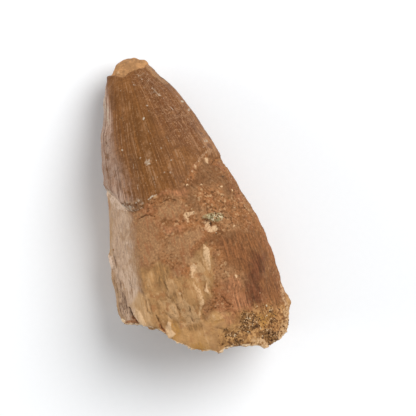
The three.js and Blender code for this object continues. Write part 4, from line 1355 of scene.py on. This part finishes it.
def with_marks(paint, colours, colour):
    """Adds the crumbled margin, the green lump, the pale chips and the dark splits."""
    flecks = paint.shades(
        paint.grain_tone,
        (0.10, scaled(colours.enamel, 0.6)),
        (0.45, scaled(colours.stria, 0.5)),
        (0.72, scaled(colours.stria, 0.8)),
        (0.95, scaled(colours.chip_grey, 0.75)),
    )
    colour = paint.zone(colour, "crumbled", flecks, paint.between(paint.mottle, 0.36, 0.50, 0.80))
    stops = ((0.1, scaled(colours.green, 0.5)), (0.5, scaled(colours.green, 0.95)), (1.0, colours.quartz))
    colour = paint.zone(colour, "green", paint.shades(paint.grain_tone, *stops), 0.9)
    chip = paint.tint(colours.chip, colours.chip_grey, paint.mask("enamel"))
    chip = paint.tint(chip, colours.chip_pink, paint.mask("facet"))
    chip = paint.tint(chip, colours.chip, paint.mask("golden_facet"))
    colour = paint.ragged_zone(colour, "pale", chip, paint.fine, 2.4, (0.20, 0.80, 0.92))
    # Painted shade, along with the dark of the cracks themselves, in splits, hollows and pits.
    return paint.ragged_zone(colour, "dark", colours.shade, paint.fine, 1.6, (0.20, 0.95, 0.95))


def sand_finish(colours):
    """Quartz and phosphate grains: clear, golden, rusty and black ones, each of one tone."""
    paint = Finish("cemented_sand")
    fine = paint.noise(0.15, 2.0)
    colour = paint.shades(
        paint.mask("tone"),
        (0.0, scaled(colours.root, 0.25)),
        (0.35, scaled(colours.sand, 0.60)),
        (0.70, colours.sand),
        (0.95, colours.flakes_pale),
        (1.0, colours.quartz),
    )
    colour = paint.coats(colour, (scaled(colours.root, 0.5), fine, 0.45, 0.75, 0.4))
    paint.surface(colour, paint.sum("MULTIPLY_ADD", fine, 0.4, 0.4), 0.25)
    return paint.material


def floor_finish(colour):
    """White card with the faintest grain."""
    paint = Finish("white_card")
    paint.surface(paint.shades(paint.noise(0.9, 2.0), (0.3, scaled(colour, 0.99)), (0.7, colour)), 0.9, 0.1)
    return paint.material


# --- Settings -----------------------------------------------------------------------------------------------


def colour_setting(name, description, default):
    """A colour that the user can change, in linear light."""
    return bpy.props.FloatVectorProperty(
        name=name, description=description, default=default, subtype="COLOR", size=3, min=0.0, max=1.0
    )


class FossilColours(bpy.types.PropertyGroup):
    """The colours of the tooth's parts and of the sand on it."""

    enamel: colour_setting("Enamel", "Crown, between its striae", (0.192, 0.074, 0.020))
    enamel_light: colour_setting("Enamel, light", "Lighter clouds on the crown", (0.240, 0.096, 0.027))
    enamel_olive: colour_setting(
        "Enamel, olive", "Dark clouds left of the crown's middle", (0.155, 0.060, 0.014)
    )
    enamel_violet: colour_setting(
        "Enamel, violet", "Redder clouds on the crown's right", (0.142, 0.049, 0.017)
    )
    # A painted sheen: the pale greyish colour laid on the crown's left side.
    flank_sheen: colour_setting("Flank", "Pale weathering on the crown's left flank", (0.430, 0.295, 0.222))
    stria: colour_setting("Striae", "Pale hairlines along the crown", (0.388, 0.216, 0.110))
    root: colour_setting("Root", "Bare, sandy root", (0.270, 0.110, 0.038))
    root_red: colour_setting("Root, red", "Redder clouds on the root", (0.292, 0.108, 0.043))
    root_pale: colour_setting("Root, pale", "Paler specks on the root", (0.422, 0.227, 0.110))
    # A painted highlight, laid on the crown's right-facing edge.
    rim: colour_setting("Rim", "Orange-tan rim along the crown's right", (0.330, 0.148, 0.050))
    gold: colour_setting("Gold", "Honey-coloured patches low on the root", (0.40, 0.20, 0.050))
    rust: colour_setting("Rust", "Rusty stain round the deep gap", (0.270, 0.105, 0.036))
    sand: colour_setting("Sand", "Fine sand between the coarse grains", (0.325, 0.158, 0.050))
    tan: colour_setting("Tan", "Smooth tan skin on the root", (0.338, 0.180, 0.082))
    flakes: colour_setting("Flakes", "Layers of dentine low on the root", (0.460, 0.250, 0.100))
    flakes_pale: colour_setting("Flakes, pale", "Edges of those layers", (0.570, 0.360, 0.185))
    flakes_tan: colour_setting("Flakes, tan", "Smoother tan layers among them", (0.485, 0.292, 0.140))
    filling: colour_setting("Filling", "Sand that fills the pulp cavity", (0.300, 0.185, 0.088))
    base_pale: colour_setting("Base, pale", "Pale tan corners of the base", (0.480, 0.285, 0.135))
    olive: colour_setting("Olive", "Smooth olive patch", (0.250, 0.130, 0.048))
    brown: colour_setting("Brown", "Smooth brown patch", (0.172, 0.067, 0.023))
    red: colour_setting("Red", "Smooth red-brown patch", (0.318, 0.135, 0.060))
    purple: colour_setting("Purple", "Smooth purple-brown patch", (0.118, 0.039, 0.016))
    # The facet's pale pinks are partly a painted sheen on its left-facing plane.
    facet: colour_setting("Facet", "Broken facet on the left", (0.535, 0.360, 0.248))
    facet_pale: colour_setting("Facet, pale", "Paler fibres on the facet", (0.648, 0.473, 0.350))
    golden: colour_setting("Golden", "Tan dentine along the base", (0.450, 0.245, 0.095))
    stub: colour_setting("Stub", "Worn dentine at the tip", (0.415, 0.212, 0.088))
    green: colour_setting("Green lump", "Lump of pale green sand", (0.370, 0.300, 0.145))
    chip: colour_setting("Chips", "Fresh chips and splinters", (0.660, 0.435, 0.245))
    # Cream of the chipped base edge, lightened as a painted highlight along the outline.
    cream_and_highlight: colour_setting("Cream", "Chipped edge of the base", (0.840, 0.670, 0.460))
    worn: colour_setting("Worn enamel", "Orange-tan wear on the crown's edges", (0.400, 0.200, 0.085))
    chip_pink: colour_setting("Chips, pink", "Fresh edges on the facet", (0.660, 0.490, 0.370))
    chip_grey: colour_setting("Chips, grey", "Chips in the enamel", (0.515, 0.425, 0.315))
    shade: colour_setting("Shade", "The depths of splits and pits", (0.064, 0.020, 0.005))
    quartz: colour_setting("Quartz", "Clear grains of sand", (0.620, 0.520, 0.350))
    card: colour_setting("Card", "The white card that the tooth lies on", (0.890, 0.905, 0.920))


class FossilSettings(bpy.types.PropertyGroup):
    """The sizes that a user would change."""

    grid: bpy.props.FloatProperty(
        name="Grid", description="Grid of the tooth's mesh, halved on top", default=0.34 * MM,
        min=0.0001, unit="LENGTH", precision=5,
    )
    grain: bpy.props.FloatProperty(
        name="Grain", description="Mean radius of a sand grain", default=0.15 * MM, min=0.00001,
        unit="LENGTH", precision=5,
    )
    grains: bpy.props.IntProperty(
        name="Grains", description="How many grains of sand cling to the tooth", default=700, min=1,
        max=2000,
    )
    view_width: bpy.props.FloatProperty(
        name="View width", description="Width of what the camera sees of the tooth's level",
        default=66.56 * MM, min=0.001, unit="LENGTH",
    )
    view_turn: bpy.props.FloatProperty(
        name="View turn", description="How far the tooth leans to the left in view",
        default=math.radians(15), subtype="ANGLE",
    )
    lens: bpy.props.FloatProperty(
        name="Lens", description="Focal length of the camera in millimetres", default=300.0, min=10.0
    )
    key: bpy.props.FloatProperty(
        name="Key light", description="Power of the large soft light", default=6.12, min=0.0, unit="POWER"
    )
    fill: bpy.props.FloatProperty(
        name="Fill light", description="Power of the low light from the left", default=2.8, min=0.0,
        unit="POWER",
    )
    ambient: bpy.props.FloatProperty(
        name="Ambient light", description="Strength of the white room", default=0.42, min=0.0
    )


# --- Operators ----------------------------------------------------------------------------------------------


class FOSSIL_OT_tooth(bpy.types.Operator):
    """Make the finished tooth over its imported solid"""

    bl_idname = "fossil.tooth"
    bl_label = "Tooth"

    def execute(self, context):
        scene = context.scene
        piece = tooth_blank(scene.fossil_settings.grid)
        carve(Skin(piece.data))
        piece.data.shade_smooth()
        piece.data.materials.clear()
        piece.data.materials.append(tooth_finish(scene.fossil_colours))
        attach(piece, "root")
        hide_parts(NODE)
        return {"FINISHED"}


class FOSSIL_OT_sand(bpy.types.Operator):
    """Make the coarse grains that are cemented to the finished tooth"""

    bl_idname = "fossil.sand"
    bl_label = "Sand"

    def execute(self, context):
        settings = context.scene.fossil_settings
        tooth = bpy.data.objects.get("fossil_tooth")
        if tooth is None:
            raise RuntimeError("The sand lies on the tooth, so the tooth is made first.")
        sand = add_piece("sand_grains", sand_mesh(tooth.data, settings.grain, settings.grains))
        sand.data.materials.append(sand_finish(context.scene.fossil_colours))
        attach(sand, "root")
        return {"FINISHED"}


def add_soft_light(name, power, place, width):
    """A round diffuser that faces the tooth."""
    light = bpy.data.lights.new(name, "AREA")
    light.shape = "DISK"
    light.size = width
    light.energy = power
    lamp = bpy.data.objects.new(name, light)
    lamp.location = place
    lamp.rotation_mode = "QUATERNION"
    lamp.rotation_quaternion = lamp.location.to_track_quat("Z", "Y")
    bpy.context.scene.collection.objects.link(lamp)


class FOSSIL_OT_stage(bpy.types.Operator):
    """Make the white card, the light and the camera"""

    bl_idname = "fossil.stage"
    bl_label = "Stage"

    def execute(self, context):
        scene = context.scene
        settings = scene.fossil_settings
        card = bmesh.new()
        bmesh.ops.create_grid(card, x_segments=8, y_segments=8, size=CARD_REACH)
        mesh = bpy.data.meshes.new("card")
        card.to_mesh(mesh)
        card.free()
        floor = add_piece("card", mesh)
        mesh.materials.append(floor_finish(scene.fossil_colours.card))

        world = bpy.data.worlds.new("white_room")
        world.use_nodes = True
        background = world.node_tree.nodes["Background"]
        background.inputs["Color"].default_value = (1.0, 1.0, 1.0, 1.0)
        background.inputs["Strength"].default_value = settings.ambient
        scene.world = world
        scene.view_settings.view_transform = "Standard"

        add_soft_light("key", settings.key, KEY_PLACE, KEY_WIDTH)
        add_soft_light("fill", settings.fill, FILL_PLACE, FILL_WIDTH)

        camera = bpy.data.objects.new("camera", bpy.data.cameras.new("camera"))
        camera.data.lens = settings.lens
        distance = settings.view_width * settings.lens / camera.data.sensor_width
        across, along = VIEW_MIDDLE
        camera.location = (across * MM, along * MM, VIEW_LEVEL * MM + distance)
        camera.rotation_euler = (0.0, 0.0, -settings.view_turn)
        camera.data.clip_start = 0.01
        scene.collection.objects.link(camera)
        scene.camera = camera
        return {"FINISHED"}


class FOSSIL_PT_panel(bpy.types.Panel):
    """Lists the pieces in the 3D view's sidebar"""

    bl_idname = "FOSSIL_PT_panel"
    bl_label = "Fossil tooth"
    bl_space_type = "VIEW_3D"
    bl_region_type = "UI"
    bl_category = "Fossil"

    def draw(self, context):
        for operator in (FOSSIL_OT_stage, FOSSIL_OT_tooth, FOSSIL_OT_sand):
            self.layout.operator(operator.bl_idname)
        for settings in (context.scene.fossil_settings, context.scene.fossil_colours):
            for name in settings.__annotations__:
                self.layout.prop(settings, name)


CLASSES = (FossilColours, FossilSettings, FOSSIL_OT_stage, FOSSIL_OT_tooth, FOSSIL_OT_sand, FOSSIL_PT_panel)


def register():
    """Adds the classes, and the settings to the scene."""
    for cls in CLASSES:
        bpy.utils.register_class(cls)
    bpy.types.Scene.fossil_colours = bpy.props.PointerProperty(type=FossilColours)
    bpy.types.Scene.fossil_settings = bpy.props.PointerProperty(type=FossilSettings)


def unregister():
    """Takes them away again."""
    del bpy.types.Scene.fossil_settings
    del bpy.types.Scene.fossil_colours
    for cls in reversed(CLASSES):
        bpy.utils.unregister_class(cls)


def main():
    """Makes everything in order."""
    register()
    bpy.ops.fossil.stage()
    bpy.ops.fossil.tooth()
    bpy.ops.fossil.sand()


if __name__ == "__main__":
    main()
